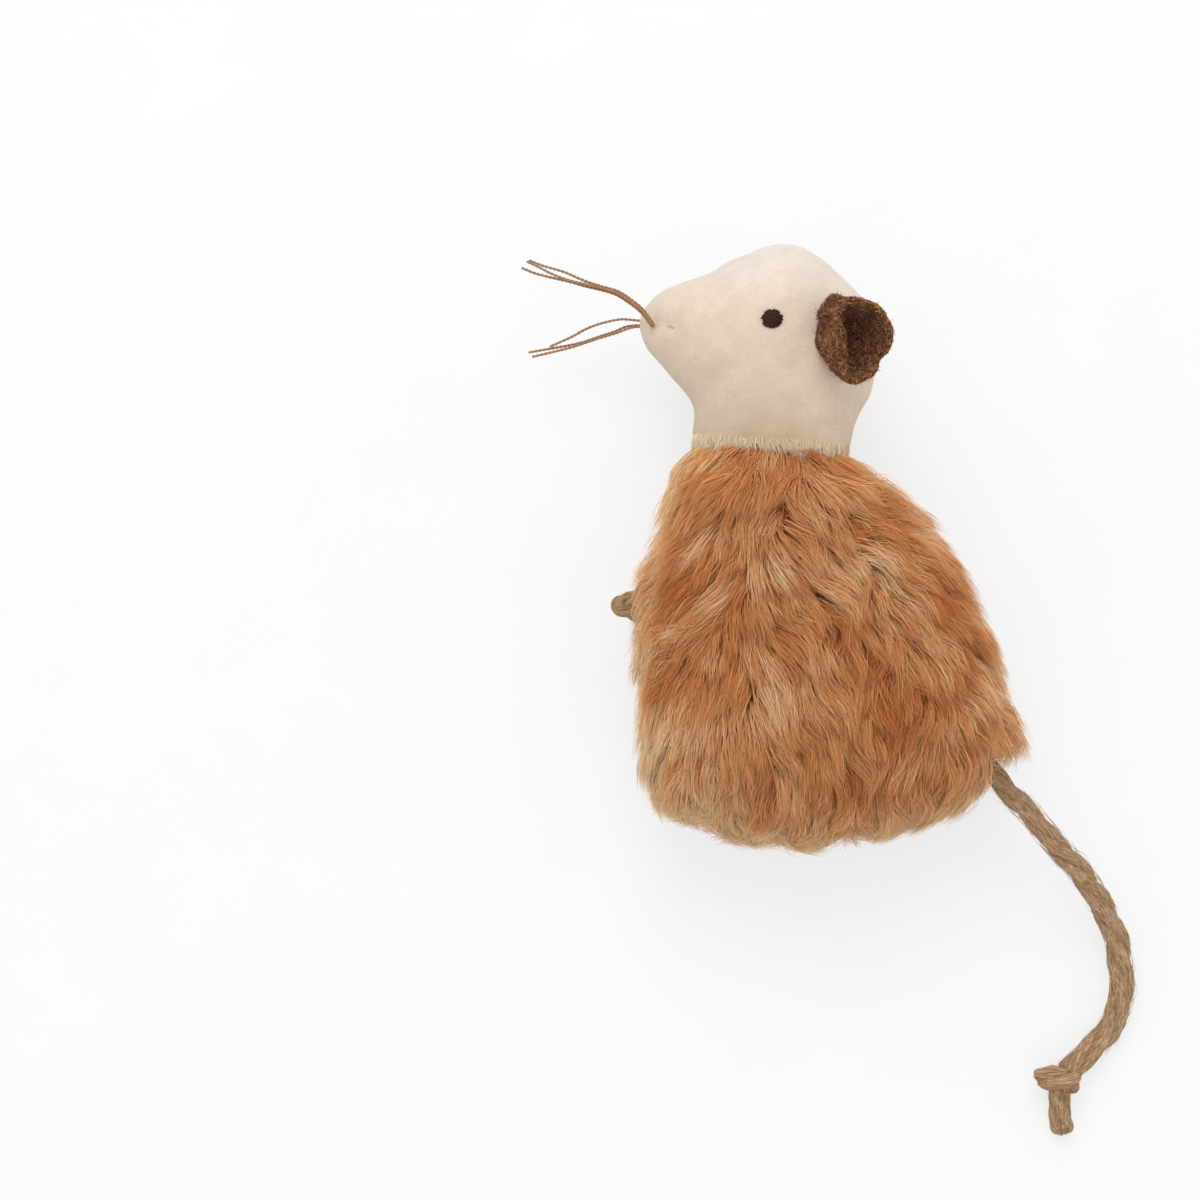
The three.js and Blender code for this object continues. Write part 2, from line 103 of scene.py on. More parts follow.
class Finish:
    """A Principled material whose nodes are added with short calls."""

    def __init__(self, name, **values):
        self.material = bpy.data.materials.new(name)
        self.material.use_nodes = True
        self.tree = self.material.node_tree
        self.shader = self.tree.nodes["Principled BSDF"]
        for key, value in values.items():
            self.shader.inputs[key.replace("_", " ").title().replace("Ior", "IOR")].default_value = value

    def feed(self, socket, value):
        if isinstance(value, bpy.types.NodeSocket):
            self.tree.links.new(value, socket)
        else:
            socket.default_value = value

    def node(self, kind, inputs, output=0, **settings):
        made = self.tree.nodes.new("ShaderNode" + kind)
        for key, value in settings.items():
            setattr(made, key, value)
        for key, value in inputs.items():
            self.feed(made.inputs[key], value)
        return made.outputs[output]

    def object_place(self, stretch=(1, 1, 1), turn=(0, 0, 0)):
        place = self.node("TexCoord", {}, "Object")
        return self.node("Mapping", {"Vector": place, "Scale": stretch, "Rotation": turn})

    def map_place(self, uv_map, stretch=(1, 1, 1)):
        place = self.node("UVMap", {}, uv_map=uv_map)
        return self.node("Mapping", {"Vector": place, "Scale": stretch})

    def part(self, place, axis):
        return self.node("SeparateXYZ", {0: place}, axis)

    def noise(self, place, scale, detail=4.0, roughness=0.6, distortion=0.0):
        values = {"Vector": place, "Scale": scale, "Detail": detail, "Roughness": roughness}
        return self.node("TexNoise", {**values, "Distortion": distortion}, "Fac")

    def bands(self, place, scale, distortion=0.0, **settings):
        values = {"Vector": place, "Scale": scale, "Distortion": distortion}
        return self.node("TexWave", values, "Fac", **settings)

    def ramp(self, factor, stops):
        made = self.tree.nodes.new("ShaderNodeValToRGB")
        self.feed(made.inputs["Fac"], factor)
        marks = made.color_ramp.elements
        while len(marks) < len(stops):
            marks.new(1.0)
        for mark, (position, color) in zip(marks, stops):
            mark.position = position
            mark.color = color
        return made.outputs["Color"]

    def mix(self, factor, first, second, how="MIX"):
        inputs = {0: factor, 6: first, 7: second}
        return self.node("Mix", inputs, 2, data_type="RGBA", blend_type=how)

    def math(self, how, first, second=0.0):
        return self.node("Math", {0: first, 1: second}, operation=how)

    def shaded(self, color, pattern, stops):
        """The colour times a ramp of the pattern."""
        return self.mix(1.0, color, self.ramp(pattern, stops), "MULTIPLY")

    def color(self, socket):
        self.feed(self.shader.inputs["Base Color"], socket)
        return self

    def bump(self, height, strength, distance):
        values = {"Height": height, "Strength": strength, "Distance": distance}
        self.feed(self.shader.inputs["Normal"], self.node("Bump", values))
        return self

    def patterned(self, pattern, stops, strength, distance):
        """The material, with its colour and its bump from one pattern."""
        return self.color(self.ramp(pattern, stops)).bump(pattern, strength, distance).material


print("a mid grey of 128 is", round(tint(128, 128, 128)[0], 3), "in a shader")

# %% [markdown]
# The stage is a pale floor under soft light. A studio hangs a large lamp behind the top of the picture and
# lets white walls fill the shadows: here one wide area lamp and a bright, even world do the same. The floor
# shows the camera a share of plain white, so that it is as pale as paper but keeps the toy's soft shadow.

# %% Floor and light
FLOOR_HALF = 2.5
FLOOR_WHITE = 0.7
WORLD_LEVEL = 0.81
LAMP_WATTS = 4.0
LAMP_SIZE = 0.7
LAMP_AT = (-0.10, 0.62, 0.80)
LAMP_TURN = (-38, -5, 0)


def floor_finish():
    """Paper white: a diffuse surface, mixed with plain white light for the rays that the camera sees."""
    finish = Finish("floor paper", roughness=1.0)
    grain = finish.noise(finish.object_place(), 40)
    finish.color(finish.ramp(grain, tints((0.3, 238, 238, 238), (0.7, 243, 243, 243))))
    nodes = finish.tree.nodes
    rays = nodes.new("ShaderNodeLightPath").outputs
    seen = finish.math("MAXIMUM", rays["Is Camera Ray"], rays["Is Glossy Ray"])
    seen = finish.math("MAXIMUM", seen, rays["Is Transmission Ray"])
    share = finish.math("MULTIPLY", seen, FLOOR_WHITE)
    white = finish.node("Emission", {})
    both = finish.node("MixShader", {0: share, 1: finish.shader.outputs[0], 2: white})
    finish.feed(nodes["Material Output"].inputs["Surface"], both)
    return finish.material


floor_mesh = bpy.data.meshes.new("floor")
corners = np.array([[-1, -1, 0], [1, -1, 0], [1, 1, 0], [-1, 1, 0]]) * FLOOR_HALF
floor_mesh.from_pydata(corners.tolist(), [], [[0, 1, 2, 3]])
floor_mesh.materials.append(floor_finish())
floor = bpy.data.objects.new("floor", floor_mesh)
scene.collection.objects.link(floor)

world = bpy.data.worlds.new("studio")
scene.world = world
world.use_nodes = True
world.node_tree.nodes["Background"].inputs["Color"].default_value = (1, 1, 1, 1)
world.node_tree.nodes["Background"].inputs["Strength"].default_value = WORLD_LEVEL

lamp = bpy.data.objects.new("softbox", bpy.data.lights.new("softbox", "AREA"))
lamp.data.shape = "DISK"
lamp.data.size = LAMP_SIZE
lamp.data.energy = LAMP_WATTS
lamp.location = LAMP_AT
lamp.rotation_euler = [math.radians(angle) for angle in LAMP_TURN]
scene.collection.objects.link(lamp)
scene.view_settings.view_transform = "Standard"
print("floor and one lamp of", lamp.data.energy, "watts")

# %% [markdown]
# Every new piece is arrays of numbers first: points, faces and, where a pattern follows the surface, a map.
# One function puts such arrays into a mesh and hangs the piece on the body that carries it. Cuts and caps are
# left to Blender's own mesh tools.

# %% Arrays into a mesh
def mesh_piece(name, points, face_sets, finish, body, replaced=None, map_name=None, maps=None):
    """Points (n, 3) in millimetres and sets of faces (m, corners) become one smooth object at the origin.
    maps holds, for each set of faces, the map's place (m, corners, 2) of every corner. A piece given no body
    rides on none. replaced is the frame's solid that the piece stands for."""
    mesh = bpy.data.meshes.new(name)
    mesh.vertices.add(len(points))
    mesh.vertices.foreach_set("co", (np.asarray(points) * MM).astype(np.float32).ravel())
    corners = np.concatenate([faces.ravel() for faces in face_sets])
    sizes = np.concatenate([np.full(len(faces), faces.shape[1]) for faces in face_sets])
    mesh.loops.add(len(corners))
    mesh.loops.foreach_set("vertex_index", corners.astype(np.int32))
    mesh.polygons.add(len(sizes))
    mesh.polygons.foreach_set("loop_start", np.concatenate([[0], np.cumsum(sizes)[:-1]]).astype(np.int32))
    mesh.polygons.foreach_set("use_smooth", np.ones(len(sizes), bool))
    if map_name:
        layer = mesh.uv_layers.new(name=map_name)
        places = np.concatenate([np.asarray(m).reshape(-1, 2) for m in maps])
        layer.data.foreach_set("uv", places.astype(np.float32).ravel())
    mesh.update(calc_edges=True)
    mesh.validate()
    mesh.materials.append(finish)
    piece = bpy.data.objects.new(name, mesh)
    scene.collection.objects.link(piece)
    if body:
        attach(piece, body)
    if replaced:
        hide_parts(replaced)
    return piece


def grid_faces(rows, columns, closed):
    """Quads between the points of a grid, row by row. A closed grid joins its last column to its first."""
    row = np.arange(rows - 1)[:, None]
    column = np.arange(columns if closed else columns - 1)[None, :]
    after = (column + 1) % columns
    a, b = row * columns + column, row * columns + after
    return np.stack([a, b, b + columns, a + columns], axis=-1).reshape(-1, 4)


def fan_faces(first, columns, tip):
    """Triangles between the ring of points that begins at first and one more point, the tip."""
    here = np.arange(columns)
    return np.stack([here + first, (here + 1) % columns + first, np.full(columns, tip)], axis=1)


def unrolled(faces, columns):
    """The column of every corner in a closed grid. Faces across the join end one column past the last."""
    column = faces % columns
    across = (column == 0) & (column.max(axis=1, keepdims=True) == columns - 1)
    return np.where(across, columns, column)


def triangles_of(quads, fan):
    """All of a surface as triangles: each quad as two, then the fan."""
    return np.concatenate([quads[:, [0, 1, 2]], quads[:, [0, 2, 3]], fan])


def reshaped(piece, change):
    """Opens a piece's mesh, lets change work on it and puts it back."""
    mesh = bmesh.new()
    mesh.from_mesh(piece.data)
    change(mesh)
    mesh.to_mesh(piece.data)
    mesh.free()
    return piece


def drop_loose_points(mesh):
    bmesh.ops.delete(mesh, geom=[v for v in mesh.verts if not v.link_faces], context="VERTS")


def open_edges(mesh):
    return [e for e in mesh.edges if e.is_boundary]


def fill_holes(mesh):
    bmesh.ops.holes_fill(mesh, edges=open_edges(mesh))
    bmesh.ops.recalc_face_normals(mesh, faces=mesh.faces)


def give_wall(piece, thickness):
    """Gives a sheet its thickness, inwards from its own face."""
    wall = piece.modifiers.new("wall", "SOLIDIFY")
    wall.thickness = thickness * MM
    wall.offset = -1
    return piece


def unit(vectors):
    """Vectors made one long."""
    return vectors / np.maximum(np.linalg.norm(vectors, axis=-1, keepdims=True), 1e-9)


def turned(angle, across, rise):
    """The direction at an angle from across towards rise."""
    return np.cos(angle)[..., None] * across + np.sin(angle)[..., None] * rise


def along_skin(ways, normals):
    """Directions flattened onto the skin that faces along normals."""
    return unit(ways - (ways * normals).sum(axis=1, keepdims=True) * normals)


def with_height(places, height):
    """Points over places seen from above, all at one height or each at its own."""
    return np.concatenate([places, np.broadcast_to(height, len(places))[:, None]], axis=1)


def smoothstep(value, low, high):
    """The share s of the way from low to high, kept between 0 and 1 and eased as 3 s squared - 2 s cubed."""
    share = np.clip((value - low) / (high - low), 0, 1)
    return share * share * (3 - 2 * share)


def waves(points, scale, seed):
    """Smooth random hills between about -1 and 1: a sum of six sine waves in random directions."""
    rng = np.random.default_rng(seed)
    total = np.zeros(points.shape[:-1])
    for _ in range(6):
        direction = unit(rng.normal(size=points.shape[-1])) * rng.uniform(0.6, 1.6) * 2 * np.pi / scale
        total += np.sin(points @ direction + rng.uniform(0, 2 * np.pi))
    return total / 3


def lumpy(points, *hills):
    """Moves points along all three axes by slow waves. Each of the hills is an amount, a size and a seed."""
    shift = [sum(amount * waves(points, size, seed + k) for amount, size, seed in hills) for k in range(3)]
    return points + np.stack(shift, axis=1)


print("a closed grid of 3 rows and 8 columns has", len(grid_faces(3, 8, True)), "faces")

# %% [markdown]
# Outlines, cords and threads all follow smooth curves through a few corner points. The curve is the same one
# that shaped the frame, so the dressed pieces lie where the solids lie.

# %% Curves
FINE_STEPS = 24


def steps_along(path):
    return np.linalg.norm(np.diff(path, axis=0), axis=1)


def cord_length(path):
    return float(steps_along(path).sum())


def lengths_along(path):
    """The length from the path's start to each of its points."""
    return np.concatenate([[0], np.cumsum(steps_along(path))])


def evenly(path, count, closed=False):
    """Points spaced evenly by length along a path of many points."""
    if closed:
        path = np.concatenate([path, path[:1]])
    length = lengths_along(path)
    stations = np.linspace(0, length[-1], count, endpoint=not closed)
    return np.stack([np.interp(stations, length, axis) for axis in path.T], axis=1)


def spline(corners, count, closed=False):
    """The centripetal Catmull-Rom curve: each span is a cubic from corner to corner, whose end slopes come
    from the neighbouring corners, weighted by the square root of their distances."""
    p = np.asarray(corners, float)
    before, after = (p[-1:], p[:2]) if closed else (2 * p[:1] - p[1:2], 2 * p[-1:] - p[-2:-1])
    ring = np.concatenate([before, p, after])
    p0, p1, p2, p3 = ring[:-3], ring[1:-2], ring[2:-1], ring[3:]
    d0, d1, d2 = (
        np.sqrt(np.linalg.norm(b - a, axis=1, keepdims=True)) for a, b in ((p0, p1), (p1, p2), (p2, p3))
    )
    slope1 = ((p1 - p0) / d0 - (p2 - p0) / (d0 + d1) + (p2 - p1) / d1) * d1
    slope2 = ((p2 - p1) / d1 - (p3 - p1) / (d1 + d2) + (p3 - p2) / d2) * d1
    t = np.linspace(0, 1, FINE_STEPS, endpoint=False)[:, None, None]
    blend = (2 * t**3 - 3 * t**2 + 1) * p1 + (t**3 - 2 * t**2 + t) * slope1
    blend = blend + (3 * t**2 - 2 * t**3) * p2 + (t**3 - t**2) * slope2
    path = blend.transpose(1, 0, 2).reshape(-1, p.shape[1])
    return evenly(path if closed else np.concatenate([path, p[-1:]]), count, closed)


def frames_along(path, upright=UP):
    """For each point of a path that never runs along upright: its direction, a side at right angles to
    upright, and the third axis."""
    ahead = unit(np.gradient(path, axis=0))
    side = unit(np.cross(ahead, upright))
    return ahead, side, np.cross(side, ahead)


print("curves have", FINE_STEPS, "steps between corners")

# %% [markdown]
# Jute is a bast fibre spun into yarns, and the yarns are laid into a cord. A plain tube with a rope texture
# would look printed, so the cord is its real yarns: each one is a round section carried along a helix about
# the cord's route. The map runs round the yarn and along it, so that the finish can draw fibres down its
# length.

# %% Laid cords
SWELLS = ((3, 1.1), (5, -0.7), (2, 2.3), (0, 0.9))
END_DOME = 0.3


def laid_cord(path, seed, yarns, lay, offset, radius, sides, rough, upright=UP, phase=0.0, scale=1.0):
    """Yarn k is centred offset from the path at the angle 2 pi (length / lay + k / yarns + phase). Its
    section is a circle whose radius swells by the share rough in slow waves round and along it. Offset and
    radius are multiplied by scale, a number or one for each point of the path. Ends close in a flat dome."""
    rng = np.random.default_rng(seed)
    rows = len(path)
    scale = np.broadcast_to(scale, rows)[:, None]
    ahead, side, up = frames_along(path, upright)
    length = lengths_along(path)
    turn = np.linspace(0, 2 * np.pi, sides, endpoint=False)
    points = []
    for k in range(yarns):
        angle = 2 * np.pi * (length / lay + k / yarns + phase)
        centre = path + scale * offset * turned(angle, side, up)
        _, across, rise = frames_along(centre, upright)
        starts = rng.uniform(0, 2 * np.pi, len(SWELLS))
        swell = sum(
            np.sin(lobes * turn + start + length[:, None] * speed)
            for (lobes, speed), start in zip(SWELLS, starts)
        )
        reach = scale * radius * (1 + rough * swell / 2)
        tube = centre[:, None] + reach[..., None] * turned(turn, across[:, None], rise[:, None])
        first = centre[:1] - ahead[:1] * radius * END_DOME
        last = centre[-1:] + ahead[-1:] * radius * END_DOME
        points += [tube.reshape(-1, 3), first, last]
    each = rows * sides + 2
    quads = grid_faces(rows, sides, True)[:, ::-1]
    ends = [fan_faces(0, sides, each - 2), fan_faces((rows - 1) * sides, sides, each - 1)[:, [1, 0, 2]]]
    faces = [
        np.concatenate([part + k * each for k in range(yarns)]) for part in (quads, np.concatenate(ends))
    ]
    quad_map = np.stack([unrolled(quads, sides) / sides, length[quads // sides]], axis=-1)
    corner = (np.arange(sides)[:, None] + [0, 1, 0.5]) / sides
    end_map = np.stack([corner, np.tile([0.0, 0.0, radius], (sides, 1))], axis=-1)
    end_maps = np.concatenate([end_map, end_map])
    maps = [np.concatenate([part + [k, 0] for k in range(yarns)]) for part in (quad_map, end_maps)]
    return np.concatenate(points), faces, maps


def cord_piece(name, laid, finish, body, replaced):
    """Makes the arrays of a laid cord into a piece that stands for one of the frame's solids."""
    points, faces, maps = laid
    return mesh_piece(name, points, faces, finish, body, replaced, "yarn", maps)


def jute_finish():
    """Straw browns streaked along the yarn: fine noise, stretched along the map, over slow patches."""
    finish = Finish("jute", roughness=0.88, specular_ior_level=0.25)
    streaks = finish.noise(finish.map_place("yarn", (22, 0.4, 1)), 1.6, 6, 0.75, 0.5)
    patches = finish.noise(finish.map_place("yarn", (1.2, 0.12, 1)), 2.0, 3, 0.6)
    browns = tints((0.34, 104, 75, 48), (0.45, 175, 138, 100), (0.55, 209, 173, 134), (0.67, 251, 226, 190))
    fibre = finish.ramp(streaks, browns)
    finish.color(finish.shaded(fibre, patches, shades((0.3, 0.8, 0.77, 0.74), (0.7, 1))))
    return finish.bump(streaks, 0.9, 0.0004).material


JUTE = jute_finish()
print("jute finish ready")

# %% [markdown]
# Many things on this toy are strands: the fur, the plush pile, felt hairs and loose jute fibres. Particle
# hair would render well but is not a mesh, so every strand is a thin three-sided spike. A map
# tells the finish each strand's own tone, across, and the way from root to tip, up, so one material serves
# a whole coat.

# %% Strands
TONE_STEPS = 96
STRAND_MAP = "OFBake"
COLUMN_MARGIN = 0.15
FLOOR_GAP = 0.1


def strand_arrays(paths, widths, tones, rng):
    """A triangle is carried along each path, as wide as widths says, and shrinks to a point at the tip. paths
    is (strands, points, 3). Strand i lies in the map's column tones[i], its root below and its tip above."""
    count, steps = paths.shape[:2]
    ahead = unit(np.gradient(paths, axis=1))
    side = unit(np.cross(ahead, unit(rng.normal(size=(count, 1, 3)))))
    up = np.cross(ahead, side)
    turn = np.arange(3) * 2 * np.pi / 3
    spread = turned(turn, side[:, :-1, None], up[:, :-1, None])
    rings = paths[:, :-1, None] + widths[:, :-1, None, None] * spread
    points = np.concatenate([rings.reshape(count, -1, 3), paths[:, -1:]], axis=1).reshape(-1, 3)
    column = np.clip(np.round(tones * (TONE_STEPS - 1)), 0, TONE_STEPS - 1)[:, None, None]

    def places(share, height):
        across = (column + COLUMN_MARGIN + (1 - 2 * COLUMN_MARGIN) * share) / TONE_STEPS
        return np.stack([across, np.broadcast_to(height, across.shape)], axis=-1)

    each = (steps - 1) * 3 + 1
    quads = grid_faces(steps - 1, 3, True)
    tips = fan_faces(each - 4, 3, each - 1)
    roots = np.array([[2, 1, 0]])
    below_tip = (steps - 2) / (steps - 1)
    maps = [
        places(unrolled(quads, 3) / 3, quads // 3 / (steps - 1)),
        places((np.arange(3)[:, None] + [0, 1, 0.5]) / 3, np.tile([below_tip, below_tip, 1.0], (3, 1))),
        places(np.array([[0.0, 0.5, 1.0]]), np.array([[0.0, 0.04, 0.0]])),
    ]
    first = (np.arange(count) * each)[:, None, None]
    faces = [(part + first).reshape(-1, part.shape[1]) for part in (quads, tips, roots)]
    return points, faces, [part.reshape(-1, *part.shape[2:]) for part in maps]


def strand_finish(name, tones, painted_root_shade, **values):
    """The tone's colour, dark to light across the map, times painted shade that darkens it towards the root.
    """
    finish = Finish(name, **values)
    place = finish.node("UVMap", {}, uv_map=STRAND_MAP)
    tone = finish.ramp(finish.math("SNAP", finish.part(place, "X"), 1 / TONE_STEPS), tones)
    return finish.color(finish.shaded(tone, finish.part(place, "Y"), painted_root_shade)).material


def strand_piece(name, paths, widths, tones, rng, finish, body, facing=None, share=0.0):
    """Makes strands into a piece. Where facing (strands, points, 3) is given, each corner's shading direction
    is drawn towards it by the share, so that a dense coat is lit as one soft surface, as real pile is."""
    points, faces, maps = strand_arrays(paths, widths, tones, rng)
    piece = mesh_piece(name, points, faces, finish, body, map_name=STRAND_MAP, maps=maps)
    if facing is not None:
        skin = np.concatenate([np.repeat(facing[:, :-1], 3, axis=1), facing[:, -1:]], axis=1).reshape(-1, 3)
        own = np.empty(len(points) * 3, np.float32)
        piece.data.vertices.foreach_get("normal", own)
        soft = unit(share * skin + (1 - share) * own.reshape(-1, 3))
        piece.data.normals_split_custom_set_from_vertices(soft)
    return piece


def tapered(count, steps, radius, taper, spread, rng):
    """Widths that fall along each strand by the share taper, with the strands' own sizes spread between two
    factors."""
    return radius * (1 - taper * np.linspace(0, 1, steps))[None] * rng.uniform(*spread, (count, 1))


def scatter(points, triangles, count, rng):
    """Random places on a mesh, each triangle drawn as often as its area asks, with the triangles' normals."""
    a, b, c = (points[triangles[:, k]] for k in range(3))
    across = np.cross(b - a, c - a)
    area = np.linalg.norm(across, axis=1)
    drawn = rng.choice(len(triangles), count, p=area / area.sum())
    r1, r2 = np.sqrt(rng.uniform(0, 1, count))[:, None], rng.uniform(0, 1, count)[:, None]
    places = (1 - r1) * a[drawn] + r1 * (1 - r2) * b[drawn] + r1 * r2 * c[drawn]
    return places, unit(across)[drawn]


# Strands are painted darker near the root, as shade from the strands around them.
PAINTED_ROOT_SHADE = shades((0.0, 0.8), (0.4, 1))
JUTE_HAIR = strand_finish(
    "jute fibre", tints((0.0, 166, 132, 98), (0.5, 202, 170, 134), (1.0, 232, 208, 176)), PAINTED_ROOT_SHADE,
    roughness=0.8,
)
print("strands have", TONE_STEPS, "tones")

# %% [markdown]
# The tail is a jute cord of three yarns that hangs from the back seam to the floor and lies there in a hook.
# It ends in an overhand knot with a cut stub. The photograph shows all of it, so its length is what is seen.

# %% Tail cord
TAIL_LAY = 25.0
TAIL_YARNS = {"yarns": 3, "lay": TAIL_LAY, "offset": 1.1, "radius": 1.26}
TAIL_POINTS = 190
TAIL_THIN = 0.84
TAIL_ROUTE = [
    [43.0, -44.5, 17.9], [46.6, -48.3, 17.2], [50.9, -53.3, 15.0], [55.8, -58.5, 11.4], [60.3, -64.9, 7.4],
    [63.4, -71.2, 4.5], [64.6, -77.9, 3.1], [64.5, -83.1, 2.6], [62.4, -88.3, 2.5], [58.8, -92.3, 2.8],
    [56.3, -94.6, 3.4], [54.9, -96.0, 3.8],
]
FIBRE_RADIUS = 0.055
FIBRE_STEPS = 6


def loose_fibres(name, body, path, radius, count, seed, run=(1.5, 5.0)):
    """Fibres that leave the cord's surface at a small angle and curl away: a start on the cord's round, a run
    along it, and a lift that grows with the square of the way."""
    rng = np.random.default_rng(seed)
    ahead, side, up = frames_along(path)
    at = rng.integers(2, len(path) - 2, count)
    out = turned(rng.uniform(0, 2 * np.pi, count), side[at], up[at])
    sideways = np.cross(ahead[at], out)
    sign = rng.choice([-1, 1], count)[:, None]
    run = rng.uniform(*run, count)[:, None]
    lift = rng.gamma(1.6, 0.22, count)[:, None]
    sweep = rng.normal(0, 0.5, count)[:, None]
    t = np.linspace(0, 1, FIBRE_STEPS)[None, :, None]
    along, away, over = (ahead[at] * (sign * run), out * (lift * run * 0.3), sideways * sweep)
    paths = (path[at] + out * radius * 0.95)[:, None] + along[:, None] * t + away[:, None] * t**2
    paths = paths + over[:, None] * np.sin(2.2 * t)
    paths[..., 2] = np.maximum(paths[..., 2], FLOOR_GAP)
    widths = tapered(count, FIBRE_STEPS, FIBRE_RADIUS, 0.8, (0.7, 1.2), rng)
    return strand_piece(name, paths, widths, rng.uniform(0, 1, count), rng, JUTE_HAIR, body)


tail_path = spline(TAIL_ROUTE, TAIL_POINTS)
tail_scale = TAIL_THIN + (1 - TAIL_THIN) * smoothstep(np.linspace(0, 1, TAIL_POINTS), 0.05, 0.6)
laid = laid_cord(tail_path, seed=11, **TAIL_YARNS, sides=20, rough=0.07, scale=tail_scale)
tail_cord = cord_piece("tail_cord_yarns", laid, JUTE, "tail", "tail_cord")
tail_fuzz = loose_fibres("tail_loose_fibres", "tail", tail_path, radius=2.25, count=520, seed=12)
print("tail", round(cord_length(tail_path), 1), "mm,", len(tail_cord.data.polygons), "faces")

# %% [markdown]
# The overhand knot is the same cord taken once round itself. Sculpting a lump would hide how it is tied, so
# the turn is a cord on a slanting loop round the stub, pulled tight enough to flatten, and the stub runs
# through it.

# %% Knot and stub
KNOT_MIDDLE = np.array([53.0, -97.3, 3.9])
KNOT_RADII = (2.25, 1.5)
KNOT_START = -0.7
KNOT_TURNS = 1.2
KNOT_TURN = np.linspace(KNOT_START, KNOT_START + 2 * np.pi * KNOT_TURNS, 200)
KNOT_RISE = 1.6
KNOT_CORNER = 0.2
CORNER_WIDTH = 0.55
KNOT_PINCH = 0.2
KNOT_AXIS = unit(np.array([0.16, 1.0, 0.04]))
KNOT_YARNS = {"yarns": 3, "lay": 17.0, "offset": 1.12, "radius": 1.26, "sides": 18, "rough": 0.1}
TAIL_STUB = [
    [53.4, -96.6, 3.9], [53.2, -99.0, 3.6], [53.4, -101.5, 2.9], [53.6, -104, 2.5], [54.0, -107.2, 2.3],
]
STUB_YARNS = {"yarns": 3, "lay": 23.0, "offset": 1.02, "radius": 1.22, "sides": 18, "rough": 0.07}
STUB_POINTS = 80
STUB_BARE = slice(14, -12)
CUT_RADIUS = 0.1
CUT_DEPTH = 0.9
CUT_STEPS = 4
CUT_LOWEST = 0.12


def knot_path():
    """A turn round the stub's axis: an ellipse of the two radii, wider at the folded left corner by a bell
    curve, whose place along the axis falls evenly with the angle."""
    across = unit(np.cross(KNOT_AXIS, UP))
    rise = np.cross(across, KNOT_AXIS)
    corner = 1 + KNOT_CORNER * np.exp(-(((KNOT_TURN % (2 * np.pi) - np.pi) / CORNER_WIDTH) ** 2))
    wide = (KNOT_RADII[0] * corner * np.cos(KNOT_TURN))[:, None] * across
    high = KNOT_RADII[1] * np.sin(KNOT_TURN)[:, None] * rise
    fall = 0.5 - (KNOT_TURN - KNOT_TURN[0]) / (KNOT_TURN[-1] - KNOT_TURN[0])
    return KNOT_MIDDLE + (wide + high) + KNOT_AXIS * KNOT_RISE * fall[:, None]


def frayed_end(name, path, radius, count, seed):
    """Cut fibre ends: strands that start across the cord's end face and run on past it, spreading."""
    rng = np.random.default_rng(seed)
    ahead, side, up = (axis[-1] for axis in frames_along(path))
    out = turned(rng.uniform(0, 2 * np.pi, count), side, up)
    share = np.sqrt(rng.uniform(0, 1, count))[:, None]
    t = np.linspace(0, 1, CUT_STEPS)[None, :, None]
    run = rng.uniform(0.1, 0.7, count)[:, None, None] * (1.15 - share[:, None] ** 2)
    bend = (out * share + rng.normal(0, 0.25, (count, 3)))[:, None] * 0.3
    roots = path[-1] + out * share * radius - ahead * (CUT_DEPTH + share**2)
    paths = roots[:, None] + ahead * (CUT_DEPTH + run) * t + bend * t**2
    paths[..., 2] = np.maximum(paths[..., 2], CUT_LOWEST)
    widths = np.tile(CUT_RADIUS * (1 - 0.6 * np.linspace(0, 1, CUT_STEPS)), (count, 1))
    return strand_piece(name, paths, widths, rng.uniform(0, 0.7, count), rng, JUTE_HAIR, "tail")


pinch = 1 - KNOT_PINCH * np.cos(KNOT_TURN) ** 6
laid = laid_cord(knot_path(), seed=13, **KNOT_YARNS, upright=KNOT_AXIS, scale=pinch)
tail_knot = cord_piece("tail_knot_turn", laid, JUTE, "tail", "tail_knot")
stub_path = spline(TAIL_STUB, STUB_POINTS)
way = np.linspace(0, 1, STUB_POINTS)
stub_scale = (0.86 + 0.16 * way) * np.sqrt(1 - 0.8 * smoothstep(way, 0.86, 1.0) ** 2)
laid = laid_cord(stub_path, seed=14, **STUB_YARNS, scale=stub_scale)
tail_stub = cord_piece("tail_stub_yarns", laid, JUTE, "tail", "tail_end")
stub_fuzz = loose_fibres(
    "tail_stub_fibres", "tail", stub_path[STUB_BARE], radius=1.9, count=200, seed=15, run=(0.8, 2.0)
)
knot_fuzz = loose_fibres(
    "tail_knot_fibres", "tail", knot_path(), radius=1.8, count=160, seed=96, run=(0.6, 1.6)
)
stub_end = frayed_end("tail_cut_end", stub_path, radius=1.9, count=420, seed=16)
print("knot and stub:", len(tail_knot.data.polygons) + len(tail_stub.data.polygons), "faces")

# %% [markdown]
# A short stretch of the same jute is caught in the back seam as the tail's root, and a thinner cord makes
# the loop in the front seam that stands for the paws.

# %% Tail root and paw loop
TAIL_ROOT = [[37.4, -38.4, 18.2], [38.9, -40.0, 18.3], [41.2, -42.5, 18.2], [43.6, -45.1, 17.8]]
ROOT_OVERLAP = 0.9
PAW_ROUTE = [
    [-20.8, -9.4, 18], [-23.5, -9.6, 18.2], [-25.6, -9.9, 18.4], [-27.1, -10.6, 18.5], [-26.8, -11.6, 18.5],
    [-25.3, -12.0, 18.3], [-23.2, -13.0, 18],
]
PAW_YARNS = {"yarns": 3, "lay": 11.0, "offset": 0.62, "radius": 0.74, "sides": 14, "rough": 0.06}

